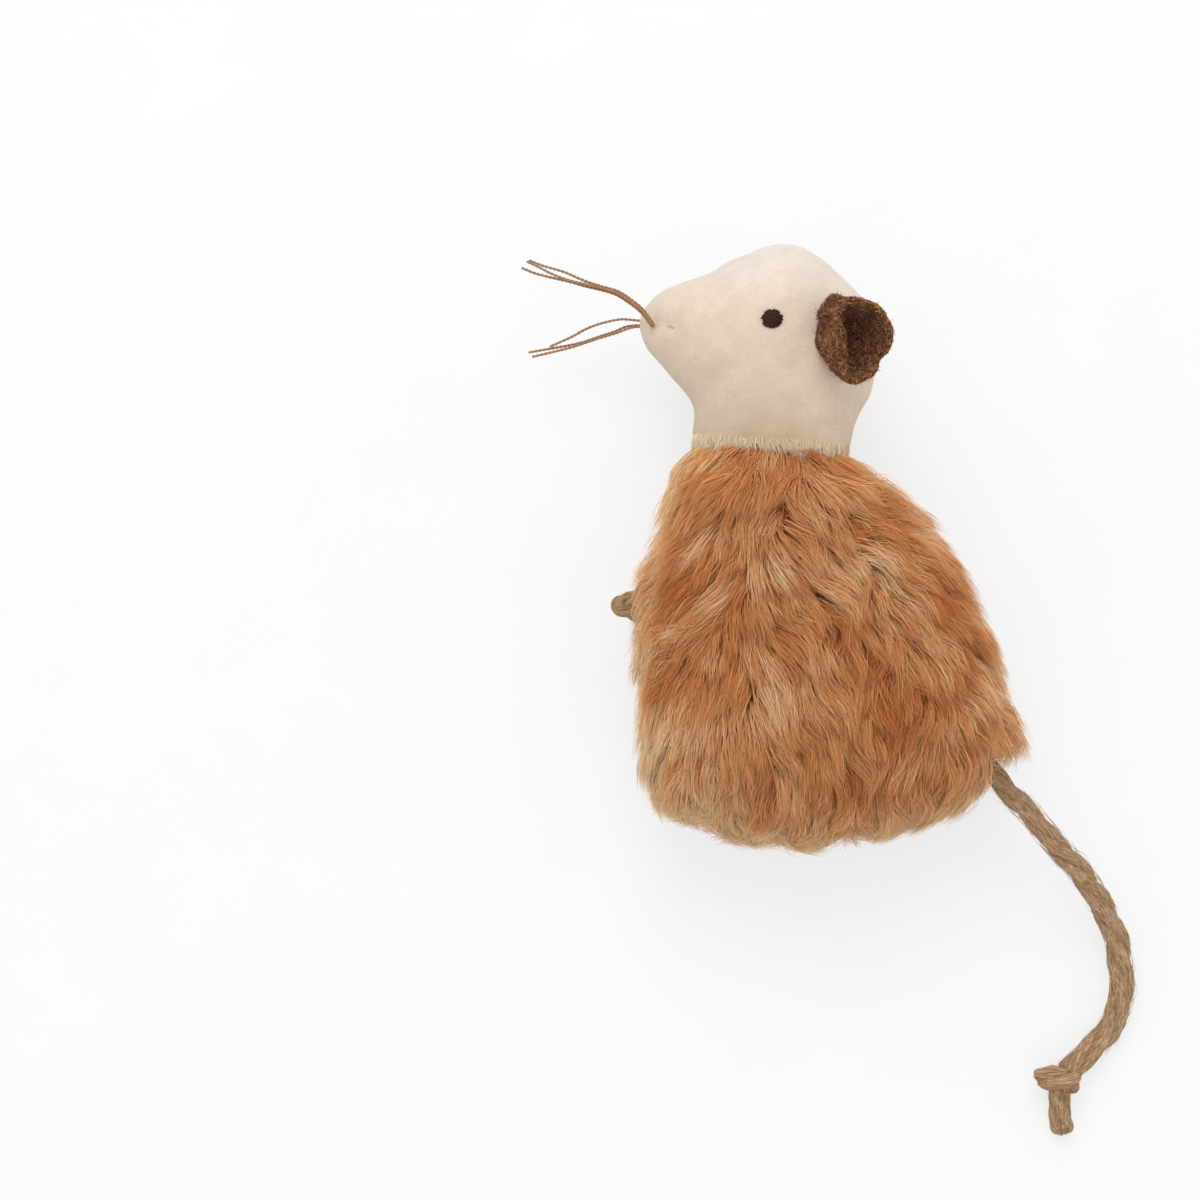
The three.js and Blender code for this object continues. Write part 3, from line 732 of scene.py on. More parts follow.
root_path = spline(TAIL_ROOT, 30)
root_phase = -(cord_length(root_path) - ROOT_OVERLAP) / TAIL_LAY
laid = laid_cord(
    root_path, seed=17, **TAIL_YARNS, sides=18, rough=0.05, phase=root_phase, scale=TAIL_THIN
)
cord_piece("tail_root_yarns", laid, JUTE, "mouse", "tail_root")
paw_path = spline(PAW_ROUTE, 70)
laid = laid_cord(paw_path, seed=18, **PAW_YARNS)
cord_piece("paw_loop_yarns", laid, JUTE, "mouse", "paw_loop")
loose_fibres("paw_loose_fibres", "mouse", paw_path, radius=1.25, count=60, seed=19, run=(0.5, 1.3))
print("tail root", round(cord_length(root_path), 1), "mm, paw loop", round(cord_length(paw_path), 1), "mm")

# %% [markdown]
# The whiskers are waxed linen threads, three on each side, that come through the snout together and part
# towards their tips. Each is a two-yarn thread with a tight lay, so that it glints in little steps as the
# real one does.

# %% Whiskers
WHISKER_AT = np.array([-21.3, 39.6])
WHISKERS = {
    "left": [
        [[-21.0, 39.2, 24.0], [-22.8, 41.6, 24.9], [-24.9, 43.3, 25.4], [-27.2, 44.75, 25.7],
         [-30.0, 45.55, 25.9], [-33.2, 46.6, 26.0], [-36.7, 48.1, 25.9], [-40.9, 49.4, 25.5],
         [-43.0, 50.25, 25.2]],
        [[-21.2, 39.05, 24.3], [-23.05, 41.4, 25.3], [-25.1, 43.0, 25.9], [-27.35, 44.4, 26.2],
         [-30.1, 45.25, 26.3], [-33.2, 46.0, 26.4], [-35.4, 46.5, 26.4], [-38.8, 47.7, 26.3],
         [-41.3, 49.0, 26.2], [-43.4, 50.0, 26.0]],
        [[-21.35, 38.85, 24.0], [-23.3, 41.2, 24.9], [-25.35, 42.75, 25.4], [-27.55, 44.1, 25.7],
         [-30.3, 44.95, 25.8], [-33.1, 45.6, 25.9], [-35.2, 46.25, 25.8], [-39.5, 47.3, 25.2],
         [-42.0, 48.0, 24.8], [-44.25, 48.96, 24.5]],
    ],
    "right": [
        [[-21.5, 40.2, 11.4], [-24.0, 40.5, 10.9], [-26.5, 40.7, 10.7], [-29.7, 40.1, 10.6],
         [-32.6, 39.1, 10.6], [-35.4, 37.6, 10.6], [-39.5, 35.75, 10.3]],
        [[-21.3, 39.6, 11.1], [-24.4, 39.6, 9.9], [-25.8, 39.4, 9.7], [-27.9, 38.5, 9.6],
         [-30.4, 37.7, 9.5], [-34.0, 36.5, 9.5], [-38.6, 35.6, 9.4], [-43.3, 34.8, 9.2]],
        [[-21.1, 39.1, 11.4], [-24.3, 39.3, 10.4], [-27.6, 38.2, 10.2], [-30.6, 37.3, 10.1],
         [-33.0, 36.5, 10.1], [-35.1, 35.8, 10.1], [-38.6, 34.9, 10.1], [-42.6, 33.96, 10.1]],
    ],
}
WHISKER_SINK = {"left": -2.6, "right": 2.4}
SUNK_SHARE = 0.3
WHISKER_POINTS = 200
WHISKER_YARNS = {"yarns": 2, "lay": 1.5, "offset": 0.11, "radius": 0.145, "sides": 8, "rough": 0.04}


def thread_finish():
    """Waxed tan thread: brown in the lay's grooves, with slow darker stretches where the wax is thick."""
    finish = Finish("waxed thread", roughness=0.55, specular_ior_level=0.35)
    streaks = finish.noise(finish.map_place("yarn", (9, 0.9, 1)), 2.0, 4, 0.6)
    slow = finish.noise(finish.map_place("yarn", (0.2, 0.25, 1)), 1.5, 2, 0.5)
    fibre = finish.ramp(streaks, tints((0.3, 136, 98, 68), (0.55, 186, 143, 105), (0.75, 225, 185, 146)))
    finish.color(finish.shaded(fibre, slow, shades((0.35, 0.82, 0.78, 0.75), (0.65, 1))))
    return finish.bump(streaks, 0.6, 0.0001).material


THREAD = thread_finish()
for side, routes in WHISKERS.items():
    for k, route in enumerate(routes, 1):
        flat = (1 - SUNK_SHARE) * np.array(route[0][:2]) + SUNK_SHARE * WHISKER_AT
        sunk = [*flat, route[0][2] + WHISKER_SINK[side]]
        laid = laid_cord(spline([sunk, *route], WHISKER_POINTS), seed=20 + k, **WHISKER_YARNS)
        cord_piece(
            f"{side}_whisker_{k}_thread", laid, THREAD, f"{side}_whiskers",
            f"{side}_whisker_{k}",
        )
    print(side, "whiskers:", len(routes))

# %% [markdown]
# Head and body are stuffed forms: two shaped panels are sewn together along an outline and filled until they
# swell. One formula gives both. Seen from above, a point is a share of the way, its reach, from the form's
# centre to its outline, and the skin's height over the seam falls from full at the centre to nothing at the
# outline.

# %% Stuffed forms
SEAM_Z = 18.0
BODY = {
    "centre": (9, -22.6), "up": 23, "down": 18.5, "power": 2.6, "slimming": 0,
    "outline": [
        [5.7, -54.6], [19.7, -53.0], [31.0, -48.8], [39.6, -43.2], [44.4, -36.4], [43.0, -27.4], [39.8, -17],
        [35.2, -6.4], [28.6, 3.6], [21, 11], [14.7, 16.5], [11, 23], [0, 26], [-11.5, 24], [-14.8, 18.2],
        [-18.4, 11.6], [-20.5, 1.6], [-24.3, -7.9], [-25.1, -17], [-24.2, -28], [-23.3, -39.4],
        [-19.6, -47.8], [-8.6, -52.6],
    ],
}
HEAD = {
    "centre": (0.9, 35.6), "up": 17, "down": 18.5, "power": 2.4, "slimming": 0.34,
    "outline": [
        [-18.4, 29.5], [-14.9, 25.0], [-14.3, 18.6], [-11, 11.8], [0, 9.4], [11.4, 11.0], [15.0, 17.0],
        [16.5, 22.2], [18.7, 26.9], [19.8, 33], [18.6, 41.4], [14, 48], [8.4, 52.6], [2.6, 54.6], [-3, 53.2],
        [-11.4, 49.6], [-17.6, 47.4], [-21.8, 44.4], [-24.1, 39.8], [-22.9, 35.2],
    ],
}
HEAD_INSET = 0.9
SNOUT_FROM, SNOUT_TO = 5, 21
NECK_POINT = np.array([0.1, 17.35])
NECK_TILT = math.radians(-4.1)
NECK_AXIS = np.array([-math.sin(NECK_TILT), math.cos(NECK_TILT), 0.0])
RIM_SAMPLES = 1440


def past_neck(points):
    """How far points lie on the head's side of the neck plane."""
    away = points[..., :2] - NECK_POINT
    return NECK_AXIS[0] * away[..., 0] + NECK_AXIS[1] * away[..., 1]


def rim_points(form, inset, count):
    """Points evenly spaced along the outline, moved inwards at right angles to it."""
    path = spline(form["outline"], count, closed=True)
    along = unit(np.roll(path, -1, axis=0) - np.roll(path, 1, axis=0))
    return path + inset * np.stack([-along[:, 1], along[:, 0]], axis=1)


def slim(form, x):
    """The share of its height that a form keeps at x: less towards the snout."""
    return 1 - form["slimming"] * smoothstep(-x, SNOUT_FROM, SNOUT_TO)


def half_form(form, inset, side, around, rings):
    """One panel, above the seam (1) or below it (-1): rings of points whose reach is the cosine of an even
    step from the outline to the centre, at the height full times slimming times the root of 1 - reach to the
    power."""
    centre = np.array(form["centre"])
    reach = np.cos(np.linspace(0, np.pi / 2, rings + 1))[:-1, None]
    flat = centre + reach[..., None] * (rim_points(form, inset, around) - centre)
    full = (form["up"] if side > 0 else form["down"]) - inset
    height = full * slim(form, flat[..., 0]) * np.sqrt(np.maximum(0, 1 - reach ** form["power"]))
    top = SEAM_Z + side * full * slim(form, centre[:1])
    grid = np.concatenate([flat, SEAM_Z + side * height[..., None]], axis=-1)
    points = np.concatenate([grid.reshape(-1, 3), [[*centre, top[0]]]])
    quads = grid_faces(rings, around, True)
    fan = fan_faces((rings - 1) * around, around, rings * around)
    return (points, quads, fan) if side > 0 else (points, quads[:, ::-1], fan[:, ::-1])


def level_of(form, inset, points):
    """Zero on the skin, positive outside: reach to the power, plus the square of the height's share of full,
    less 1. The form keeps its outline's distances by angle for the next call."""
    key = ("rim", inset)
    if key not in form:
        rim = rim_points(form, inset, RIM_SAMPLES) - np.array(form["centre"])
        angle = np.arctan2(rim[:, 1], rim[:, 0])
        order = np.argsort(angle)
        form[key] = angle[order], np.linalg.norm(rim, axis=1)[order]
    away = points[..., :2] - np.array(form["centre"])
    angle = np.arctan2(away[..., 1], away[..., 0])
    reach = np.linalg.norm(away, axis=-1) / np.interp(angle, *form[key], period=2 * np.pi)
    rise = points[..., 2] - SEAM_Z
    full = np.where(rise > 0, form["up"], form["down"]) - inset
    return reach ** form["power"] + (rise / (full * slim(form, points[..., 0]))) ** 2 - 1


def skin_height(form, inset, places, side):
    """The skin's height over places seen from above: full times slimming times the root of 1 - reach to the
    power."""
    level = level_of(form, inset, with_height(places, SEAM_Z))
    full = (form["up"] if side > 0 else form["down"]) - inset
    return SEAM_Z + side * full * slim(form, places[:, 0]) * np.sqrt(np.maximum(0, -level))


def skin_normal(form, inset, points, step=0.05):
    """The outward direction: the slope of the level along each axis, made one long."""
    slopes = [
        level_of(form, inset, points + step * axis) - level_of(form, inset, points - step * axis)
        for axis in np.eye(3)
    ]
    return unit(np.stack(slopes, axis=-1))


def cut_at_neck(piece, side, clearance, closed=False):
    """Cuts away what lies past the neck plane (side 1) or short of it (side -1), the plane moved by
    clearance. Loose points go too, and a closed piece gets a face over the cut."""
    point = np.array([*NECK_POINT, SEAM_Z]) - side * clearance * NECK_AXIS

    def cut(mesh):
        whole = [*mesh.verts, *mesh.edges, *mesh.faces]
        bmesh.ops.bisect_plane(
            mesh, geom=whole, plane_co=point * MM, plane_no=side * NECK_AXIS, clear_outer=True
        )
        drop_loose_points(mesh)
        if closed:
            fill_holes(mesh)

    return reshaped(piece, cut)


print("body outline", len(BODY["outline"]), "points, head outline", len(HEAD["outline"]), "points")

# %% [markdown]
# The body's panels are knitted backing cloth that carries a long pile. The backing hides under the fur, but
# it is what the fur grows from, so it comes first: two sheets, given thickness by a Solidify modifier and cut
# at the neck. The left one has a slot in the base, where the pocket's lip closes it.

# %% Body backing
COAT = dict(BODY, up=BODY["up"] + 3.0, down=BODY["down"] + 4.4, power=3.6)
BACKING_INSET = 6.0
BACKING_WALL = 1.0
BACKING_GRID = (176, 34)
NECK_WIDENING = 3.5
NECK_WIDENS = (5, 16)
HEM_SLOPE = 6.0
HEM_EDGE = 0.5
HEM_TUCK = 0.2
LIP_X = (-7.6, 20.2)
LIP_Y = -30
LIP_Z = (18.0, 28.9)


def backing_finish():
    """Rust-brown knitted cloth: small wavy loops of light and dark, as the roots of the pile shade it."""
    finish = Finish("fur backing", roughness=0.95)
    knit = finish.noise(finish.object_place((900, 900, 900)), 1.0, 3, 0.55)
    return finish.patterned(knit, tints((0.3, 170, 102, 55), (0.7, 210, 138, 83)), 0.5, 0.0003)


def in_lip(points):
    """Whether places on the backing lie in the slot that the pocket's lip closes."""
    x, y, z = np.moveaxis(points, -1, 0)
    return (x > LIP_X[0]) & (x < LIP_X[1]) & (y < LIP_Y) & (z > LIP_Z[0]) & (z < LIP_Z[1])


def sewn_neck(points):
    """The fur is short at the neck, so there the backing swells outwards. Over its last few millimetres it
    slopes down to the head's skin, to which it is sewn, wherever it stands above that skin."""
    swell = NECK_WIDENING * smoothstep(points[:, 1], *NECK_WIDENS)
    points = points + swell[:, None] * skin_normal(COAT, BACKING_INSET, points)
    skin = skin_height(HEAD, HEAD_INSET, points[:, :2], 1)
    share = smoothstep(past_neck(points), -HEM_SLOPE, -HEM_EDGE) * smoothstep(skin - SEAM_Z, 2, 7)
    points[:, 2] -= share * np.maximum(0, points[:, 2] - skin + HEM_TUCK)
    return points


BACKING = backing_finish()
left_points, left_quads, left_fan = half_form(COAT, BACKING_INSET, 1, *BACKING_GRID)
right_points, right_quads, right_fan = half_form(COAT, BACKING_INSET, -1, *BACKING_GRID)
left_points, right_points = sewn_neck(left_points), sewn_neck(right_points)
slot = in_lip(left_points[left_quads].mean(axis=1))
backings = {}
for name, replaced, points, faces in (
    ("body_left_backing", "body_left_panel", left_points, [left_quads[~slot], left_fan]),
    ("body_right_backing", "body_right_panel", right_points, [right_quads, right_fan]),
    ("pocket_lip_backing", "pocket_lip", left_points, [left_quads[slot]]),
):
    sheet = cut_at_neck(mesh_piece(name, points, faces, BACKING, "mouse", replaced), 1, HEM_EDGE)
    backings[name] = give_wall(sheet, BACKING_WALL)
    print(name, len(sheet.data.polygons), "faces")

# %% [markdown]
# Fur is combed, and it gathers. The comb is a handful of strokes, each a place and a direction, that every
# hair follows in proportion to how near it is. The hairs bunch into small locks, and the locks into larger
# ones, by leaning towards a guide hair more and more on the way to the tip. That is what makes pointed tufts
# and valleys. Patches, each a place, a width and a change of tone, give the coat its dark and pale areas; the
# strongest pale ones, along the bottom and the sides, are painted light where the coat faces away from the
# lamp. Hairs near the seam are painted paler too, as light glowing through the tips at the coat's edge.

# %% Fur
COMB = np.array([
    [1.7, 13.1, 0.0, -1.0], [-10.6, 15.4, -0.85, -0.5], [-15.1, 7.6, -0.75, -0.65], [-19.0, -3.6, -0.8, -0.6],
    [-20.7, -12.0, -0.9, -0.4], [-21.8, -23.1, -0.6, -0.8], [-19.0, -34.3, -0.35, -0.93],
    [-16.2, -45.5, -0.3, -0.95], [-3.9, -48.3, -0.1, -1.0], [10.0, -49.9, 0.1, -1.0],
    [21.2, -45.5, -0.1, -1.0], [32.4, -39.9, -0.1, -1.0], [39.6, -34.3, 0.45, -0.9], [39.6, -25.9, 0.7, -0.7],
    [32.4, -12.0, 0.6, -0.8], [26.8, 3.1, 0.8, -0.6], [15.6, 13.1, 0.7, -0.7], [7.2, 4.8, 0.15, -1.0],
    [1.7, -2.5, 0.75, -0.65], [4.5, -9.7, 0.9, -0.35], [12.8, -9.7, 0.4, -0.9], [-1.1, -18.7, 0.8, -0.5],
    [1.7, -28.7, 0.2, -1.0], [-9.5, -14.8, -0.3, -0.95], [-8.4, -1.9, 0.2, -1.0], [18.4, -20.4, 0.2, -1.0],
    [21.2, -31.5, 0.1, -1.0], [7.2, -37.1, 0.6, -0.8], [26.8, -34.3, -0.2, -0.95], [24.0, -9.2, 0.5, -0.85],
])
COMB_WIDTH = 6.5
COMB_SWAY = 0.35
COMB_DRIFT = np.array([0.0, -0.25, 0.0])
FUR_STEPS = 4
FUR_ROOT_RADIUS = 0.068
FUR_SOFTNESS = 0.78
FUR_SKYWARD = 1.1 * UP
FUR_PER_PIECE = 11800
TIP_LIFT = 0.26
NECK_FLATTEST = 0.3
NECK_FLAT = (1.5, 9)
NECK_BARE = 0.2
TUFT = {"length": (8.2, 11.4), "lift": (46, 76), "turn": 17, "tone": 0.085}
LOCK = {"length": (0.85, 1.1), "lift": 7, "turn": 9, "tone": 0.06, "gather": (0.15, 0.55)}
HAIR = {"length": (0.62, 1.1), "lift": 11, "turn": 12, "tone": 0.12, "gather": (0.2, 0.78), "stray": 0.09}
LEFT_COAT = {"hairs": 66000, "locks": 2600, "tufts": 360, "seed": 41}
RIGHT_COAT = {"hairs": 20000, "locks": 1300, "tufts": 220, "seed": 42}
LOWEST_TIPS = (0.12, 0.6)
MID_TONE = 0.43
TONE_WAVES = 0.06
# Painted light: hairs near the seam are paler, as light glows through the tips at the coat's edge.
PAINTED_RIM_LIGHT = 0.3
PAINTED_RIM_LIGHT_HEIGHTS = (1, 13)
PALEST_HAIR = 0.76
# Patches of tone: place, width, change. The dark ones deepen the coat's colour; the strongest pale ones,
# round the bottom and the left and right edges, are painted light on fur that faces away from the lamp.
FUR_TONE_AND_PAINTED_LIGHT_PATCHES = np.array([
    [0.0, 11.6, 6.5, -0.08], [18.6, 5.2, 5, -0.09], [-12.3, -6.0, 5, -0.2], [26, -6, 6, -0.22],
    [19, -21.7, 6, -0.2], [27, -28, 6, -0.15], [16.6, -35, 7, -0.22], [9.8, -40, 6, -0.16],
    [-13.7, -22.7, 4, -0.14], [-4, -11, 5, -0.12], [-15.7, 10, 5, 0.16], [13.7, -4, 6, 0.08],
    [4.9, -3, 4, 0.06], [-1, -27.6, 5, 0.08], [-21.6, -17.8, 5, 0.3], [21.5, -10.5, 4, 0.06],
    [-10.8, -36.4, 5, 0.1], [38.2, -22.7, 5, 0.18], [31, -42, 6, 0.18], [4, -51, 9, 0.4],
    [-14, -47, 8, 0.34], [20, -50, 8, 0.34], [-24, -24, 6, 0.28], [-24, -6, 6, 0.24], [-19, -30, 7, 0.34],
])
PARTED_ABOVE = 15
PARTED_SHARE = 0.9
PARTINGS = [
    (np.array([[39.2, -40.4], [41.5, -43.0], [44.0, -45.6], [46.5, -48.3]]), 1.4),
    (np.array([[-27.0, -9.6], [-28.2, -10.8], [-27.4, -12.2]]), 0.8),
]


def combed(points, turn):
    """The comb's direction at each point, as a level vector: the strokes' mean, weighted by a bell curve of
    their distances, with slow random waves, turned by the hair's own angle."""
    away = points[:, None, :2] - COMB[None, :, :2]
    weight = np.exp(-(away**2).sum(axis=-1) / (2 * COMB_WIDTH**2)) + 1e-6
    mean = weight @ COMB[:, 2:]
    angle = np.arctan2(mean[:, 1], mean[:, 0]) + turn + COMB_SWAY * waves(points[:, :2], 13.0, 31)
    return turned(angle, EAST, NORTH)


def grow(roots, length, lift, turn):
    """Walks each hair outwards in equal steps. A step goes along the comb, flattened onto the skin, raised by
    an angle that falls from lift at the root to a little above level at the tip. Hairs at the neck start
    flat."""
    place, walk = roots, [roots]
    near_neck = NECK_FLATTEST + (1 - NECK_FLATTEST) * smoothstep(-past_neck(roots), *NECK_FLAT)
    for step in range(FUR_STEPS - 1):
        normal = skin_normal(COAT, BACKING_INSET, place)
        comb = along_skin(combed(place, turn) + COMB_DRIFT, normal)
        share = step / (FUR_STEPS - 2)
        raised = near_neck * (lift * (1 - share) + TIP_LIFT * share)
        stride = (length / (FUR_STEPS - 1))[:, None]
        place = place + stride * turned(raised, comb, normal)
        walk.append(place)
    return np.stack(walk, axis=1)


def nearest(places, centres):
    """The nearest centre to each place, worked out in slices to spare memory."""
    slices = np.array_split(places, 60)
    return np.concatenate([((part[:, None] - centres) ** 2).sum(axis=-1).argmin(axis=1) for part in slices])


def gathered(paths, guides, strength):
    """Leans each path towards its guide, from not at all at the root to strength at the tip."""
    share = np.linspace(0, 1, FUR_STEPS)[None, :, None] ** 1.2
    return paths + strength[:, None, None] * share * (guides - paths)


def varied(parents, which, spread, rng):
    """How each lock or hair grows: as its parent does, with a random change of length, lift and turn."""
    count = len(which)
    return {
        "length": parents["length"][which] * rng.uniform(*spread["length"], count),
        "lift": parents["lift"][which] + np.radians(rng.normal(0, spread["lift"], count)),
        "turn": parents["turn"][which] + np.radians(rng.normal(0, spread["turn"], count)),
    }


def fur_coat(points, triangles, hairs, locks, tufts, seed):
    """Hairs on one panel: tufts guide locks and locks guide hairs, each with its own length, lift, turn and
    tone. A hair's tone is the middle one, changed by the patches, slow waves and a rim of painted light near
    the seam. The strongest pale patches, along the edges, are painted light too."""
    rng = np.random.default_rng(seed)
    tuft_roots = scatter(points, triangles, tufts, rng)[0]
    tuft = {
        "length": rng.uniform(*TUFT["length"], tufts),
        "lift": np.radians(rng.uniform(*TUFT["lift"], tufts)),
        "turn": np.radians(rng.normal(0, TUFT["turn"], tufts)),
    }
    tuft_tone = rng.normal(0, TUFT["tone"], tufts)
    lock_roots = scatter(points, triangles, locks, rng)[0]
    of_tuft = nearest(lock_roots, tuft_roots)
    lock = varied(tuft, of_tuft, LOCK, rng)
    lock_tone = tuft_tone[of_tuft] + rng.normal(0, LOCK["tone"], locks)
    tuft_guides = grow(tuft_roots, **tuft)[of_tuft]
    lock_guides = gathered(grow(lock_roots, **lock), tuft_guides, rng.uniform(*LOCK["gather"], locks))
    roots = scatter(points, triangles, hairs, rng)[0]
    roots = roots[past_neck(roots) < -NECK_BARE]
    of_lock = nearest(roots, lock_roots)
    hairs = len(roots)
    paths = grow(roots, **varied(lock, of_lock, HAIR, rng))
    paths = gathered(paths, lock_guides[of_lock], rng.uniform(*HAIR["gather"], hairs))
    paths = paths + rng.normal(0, HAIR["stray"], paths.shape) * np.linspace(0, 1, FUR_STEPS)[None, :, None]
    paths[..., 2] = np.maximum(paths[..., 2], rng.uniform(*LOWEST_TIPS, hairs)[:, None])
    # Patches give random tone and, on the edges, painted light; the rim term is painted light near the seam.
    apart = ((roots[:, None, :2] - FUR_TONE_AND_PAINTED_LIGHT_PATCHES[:, :2]) ** 2).sum(axis=-1) / FUR_TONE_AND_PAINTED_LIGHT_PATCHES[:, 2] ** 2
    patches = np.exp(-apart) @ FUR_TONE_AND_PAINTED_LIGHT_PATCHES[:, 3] + TONE_WAVES * waves(roots[:, :2], 22.0, seed + 1)
    rim = PAINTED_RIM_LIGHT * (1 - smoothstep(np.abs(roots[:, 2] - SEAM_Z), *PAINTED_RIM_LIGHT_HEIGHTS))
    tone = MID_TONE + patches + rim + lock_tone[of_lock] + rng.normal(0, HAIR["tone"], hairs)
    return paths, np.clip(tone, 0, PALEST_HAIR), rng


def clear_of_cords(paths, rng):
    """Leaves out most hairs that would cross the tail's root or the paw loop, where pile is parted."""
    near = np.zeros(len(paths), bool)
    for route, width in PARTINGS:
        away = np.linalg.norm(paths[:, :, None, :2] - evenly(route, 12), axis=-1)
        near |= (away.min(axis=(1, 2)) < width) & (paths[:, -1, 2] > PARTED_ABOVE)
    return ~(near & (rng.uniform(0, 1, len(paths)) < PARTED_SHARE))


def hair_widths(count, steps, root_radius, rng):
    """Hairs keep most of their width for half their length and then run out to a point."""
    share = np.linspace(0, 1, steps)
    return root_radius * (1 - 0.75 * share**2)[None] * rng.uniform(0.75, 1.2, (count, 1))


def fur_piece(name, paths, tone, rng):
    """Hairs that are shaded mostly by the skin's direction at their own places."""
    widths = hair_widths(len(paths), FUR_STEPS, FUR_ROOT_RADIUS, rng)
    facing = unit(skin_normal(COAT, BACKING_INSET, paths) + FUR_SKYWARD)
    return strand_piece(name, paths, widths, tone, rng, FUR, "mouse", facing, FUR_SOFTNESS)


def fur_pieces(name, paths, tone, rng):
    """Splits a coat into pieces of neighbouring hairs, by their angle round the body."""
    away = paths[:, 0, :2] - np.array(BODY["centre"])
    order = np.argsort(np.arctan2(away[:, 1], away[:, 0]))
    parts = np.array_split(order, -(-len(order) // FUR_PER_PIECE))
    for k, part in enumerate(parts, 1):
        fur_piece(f"{name}_{k}", paths[part], tone[part], rng)
    print(name, len(paths), "hairs in", len(parts), "pieces")


# The long fur's second ramp is painted shade: each hair is darker and deeper towards the root, where locks
# shade it.
FUR = strand_finish(
    "long fur",
    tints((0.0, 191, 107, 50), (0.3, 221, 140, 77), (0.5, 239, 168, 106), (PALEST_HAIR, 254, 211, 162)),
    shades((0.0, 0.76, 0.67, 0.57), (0.45, 0.94, 0.91, 0.87), (0.85, 1), (1.0, 1)),
    roughness=0.6, specular_ior_level=0.3, sheen_weight=0.2,
)
paths, tone, rng = fur_coat(left_points, triangles_of(left_quads, left_fan), **LEFT_COAT)
keep = clear_of_cords(paths, rng)
lip = in_lip(paths[:, 0]) & keep
coat = keep & ~lip
fur_pieces("body_left_fur", paths[coat], tone[coat], rng)
lip_fur = fur_piece("pocket_lip_fur", paths[lip], tone[lip], rng)
paths, tone, rng = fur_coat(right_points, triangles_of(right_quads, right_fan), **RIGHT_COAT)
keep = clear_of_cords(paths, rng)
fur_pieces("body_right_fur", paths[keep], tone[keep], rng)
for piece in (lip_fur, backings["pocket_lip_backing"]):
    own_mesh(piece)
print("the pocket's lip has", int(lip.sum()), "hairs")

# %% [markdown]
# The head is two panels of short plush over tight stuffing. Its skin is the stuffed form with what stuffing
# and stitches did to it: soft hills, a groove along the seam, and dents where the eye, the mouth and the
# whiskers pull it in. A sculpt could give the same, but dents kept as numbers stay in place when a size
# changes.

# %% Head skin
HEAD_GRID = (190, 40)
PLUSH_WALL = 0.8
HEAD_EDGE = 0.1
PLUSH_TOP = 52.0
# Plush colour by height up the picture: painted darker towards the neck, as shade where the head turns from
# the lamp.
PAINTED_PLUSH_FRONT = [(20, 218, 197, 174), (28, 231, 211, 189), (40, 234, 215, 195), (PLUSH_TOP, 239, 228, 218)]
PAINTED_PLUSH_BACK = [(20, 238, 219, 197), (28, 244, 227, 207), (40, 243, 226, 208), (PLUSH_TOP, 239, 228, 218)]
BACK_FROM, BACK_TO = 3.0, 13.0
PLUSH_TURN = 0.35
MOTTLES = [
    ((1000, 1000, 1000), 0.16, 0.9), ((1300, 3600, 2000), 0.5, 0.92), ((3200, 3200, 3200), 1.0, 0.91),
]
EYE_AT = np.array([-0.2, 39.4])
HEAD_HILLS = ((0.3, 19.0, 51), (0.1, 7.0, 52))
HEAD_LOWEST = 0.35
SEAM_GROOVE = (0.55, 0.8)
NECK_FLARE = 0.35
DENTS = [
    [-0.2, 39.4, 3.6, 0.5], [-21.0, 39.5, 1.5, 0.9], [-18.9, 38.9, 1.3, 0.4], [-17.2, 38.4, 1.2, 0.35],
    [-10.5, 45.0, 5.0, 0.5], [9.5, 35.0, 5.5, 0.7], [3.5, 27.5, 6.0, 0.4],
]


def plush_finish():
    """Cream velvet, mottled by noise of three sizes, the middle one drawn out along the pile's lie. The cream
    is painted darker towards the neck, as shade where the head turns down away from the lamp, and painted
    paler at the back of the head, lifting the shade of the ear and the body there."""
    finish = Finish("plush backing", roughness=0.95, sheen_weight=0.1)
    place = finish.object_place((1 / (PLUSH_TOP * MM),) * 3)
    front, back = (
        finish.ramp(finish.part(place, "Y"), tints(*((y / PLUSH_TOP, *color) for y, *color in tones)))
        for tones in (PAINTED_PLUSH_FRONT, PAINTED_PLUSH_BACK)
    )
    # From BACK_FROM to BACK_TO the paler tones take over: painted light over the shade of the ear and body.
    back_stops = shades((BACK_FROM / PLUSH_TOP, 0), (BACK_TO / PLUSH_TOP, 1))
    behind = finish.ramp(finish.part(place, "X"), back_stops)
    cloth = finish.mix(behind, front, back)
    for stretch, scale, low in MOTTLES:
        mottle = finish.noise(finish.object_place(stretch, (0, 0, PLUSH_TURN)), scale, 5, 0.65, 0.8)
        cloth = finish.shaded(cloth, mottle, shades((0.32, low, low - 0.012, low - 0.03), (0.68, 1)))
    return finish.color(cloth).bump(mottle, 0.35, 0.0003).material


def shaped_head(points):
    """Moves skin points along their outward direction: slow hills up, a bell-shaped groove at the seam's
    height and a bell-shaped dent at each of the listed places of the left side down. The neck's edge flares
    a little."""
    push = sum(amount * waves(points, size, seed) for amount, size, seed in HEAD_HILLS)
    push = push - SEAM_GROOVE[0] * np.exp(-(((points[:, 2] - SEAM_Z) / SEAM_GROOVE[1]) ** 2))
    push = push + NECK_FLARE * (1 - smoothstep(past_neck(points), 0.5, 5))
    for x, y, width, depth in DENTS:
        away = ((points[:, :2] - [x, y]) ** 2).sum(axis=1)
        push = push - depth * np.exp(-away / width**2) * (points[:, 2] > SEAM_Z)
    moved = points + push[:, None] * skin_normal(HEAD, HEAD_INSET, points)
    moved[:, 2] = np.maximum(moved[:, 2], HEAD_LOWEST)
    return moved


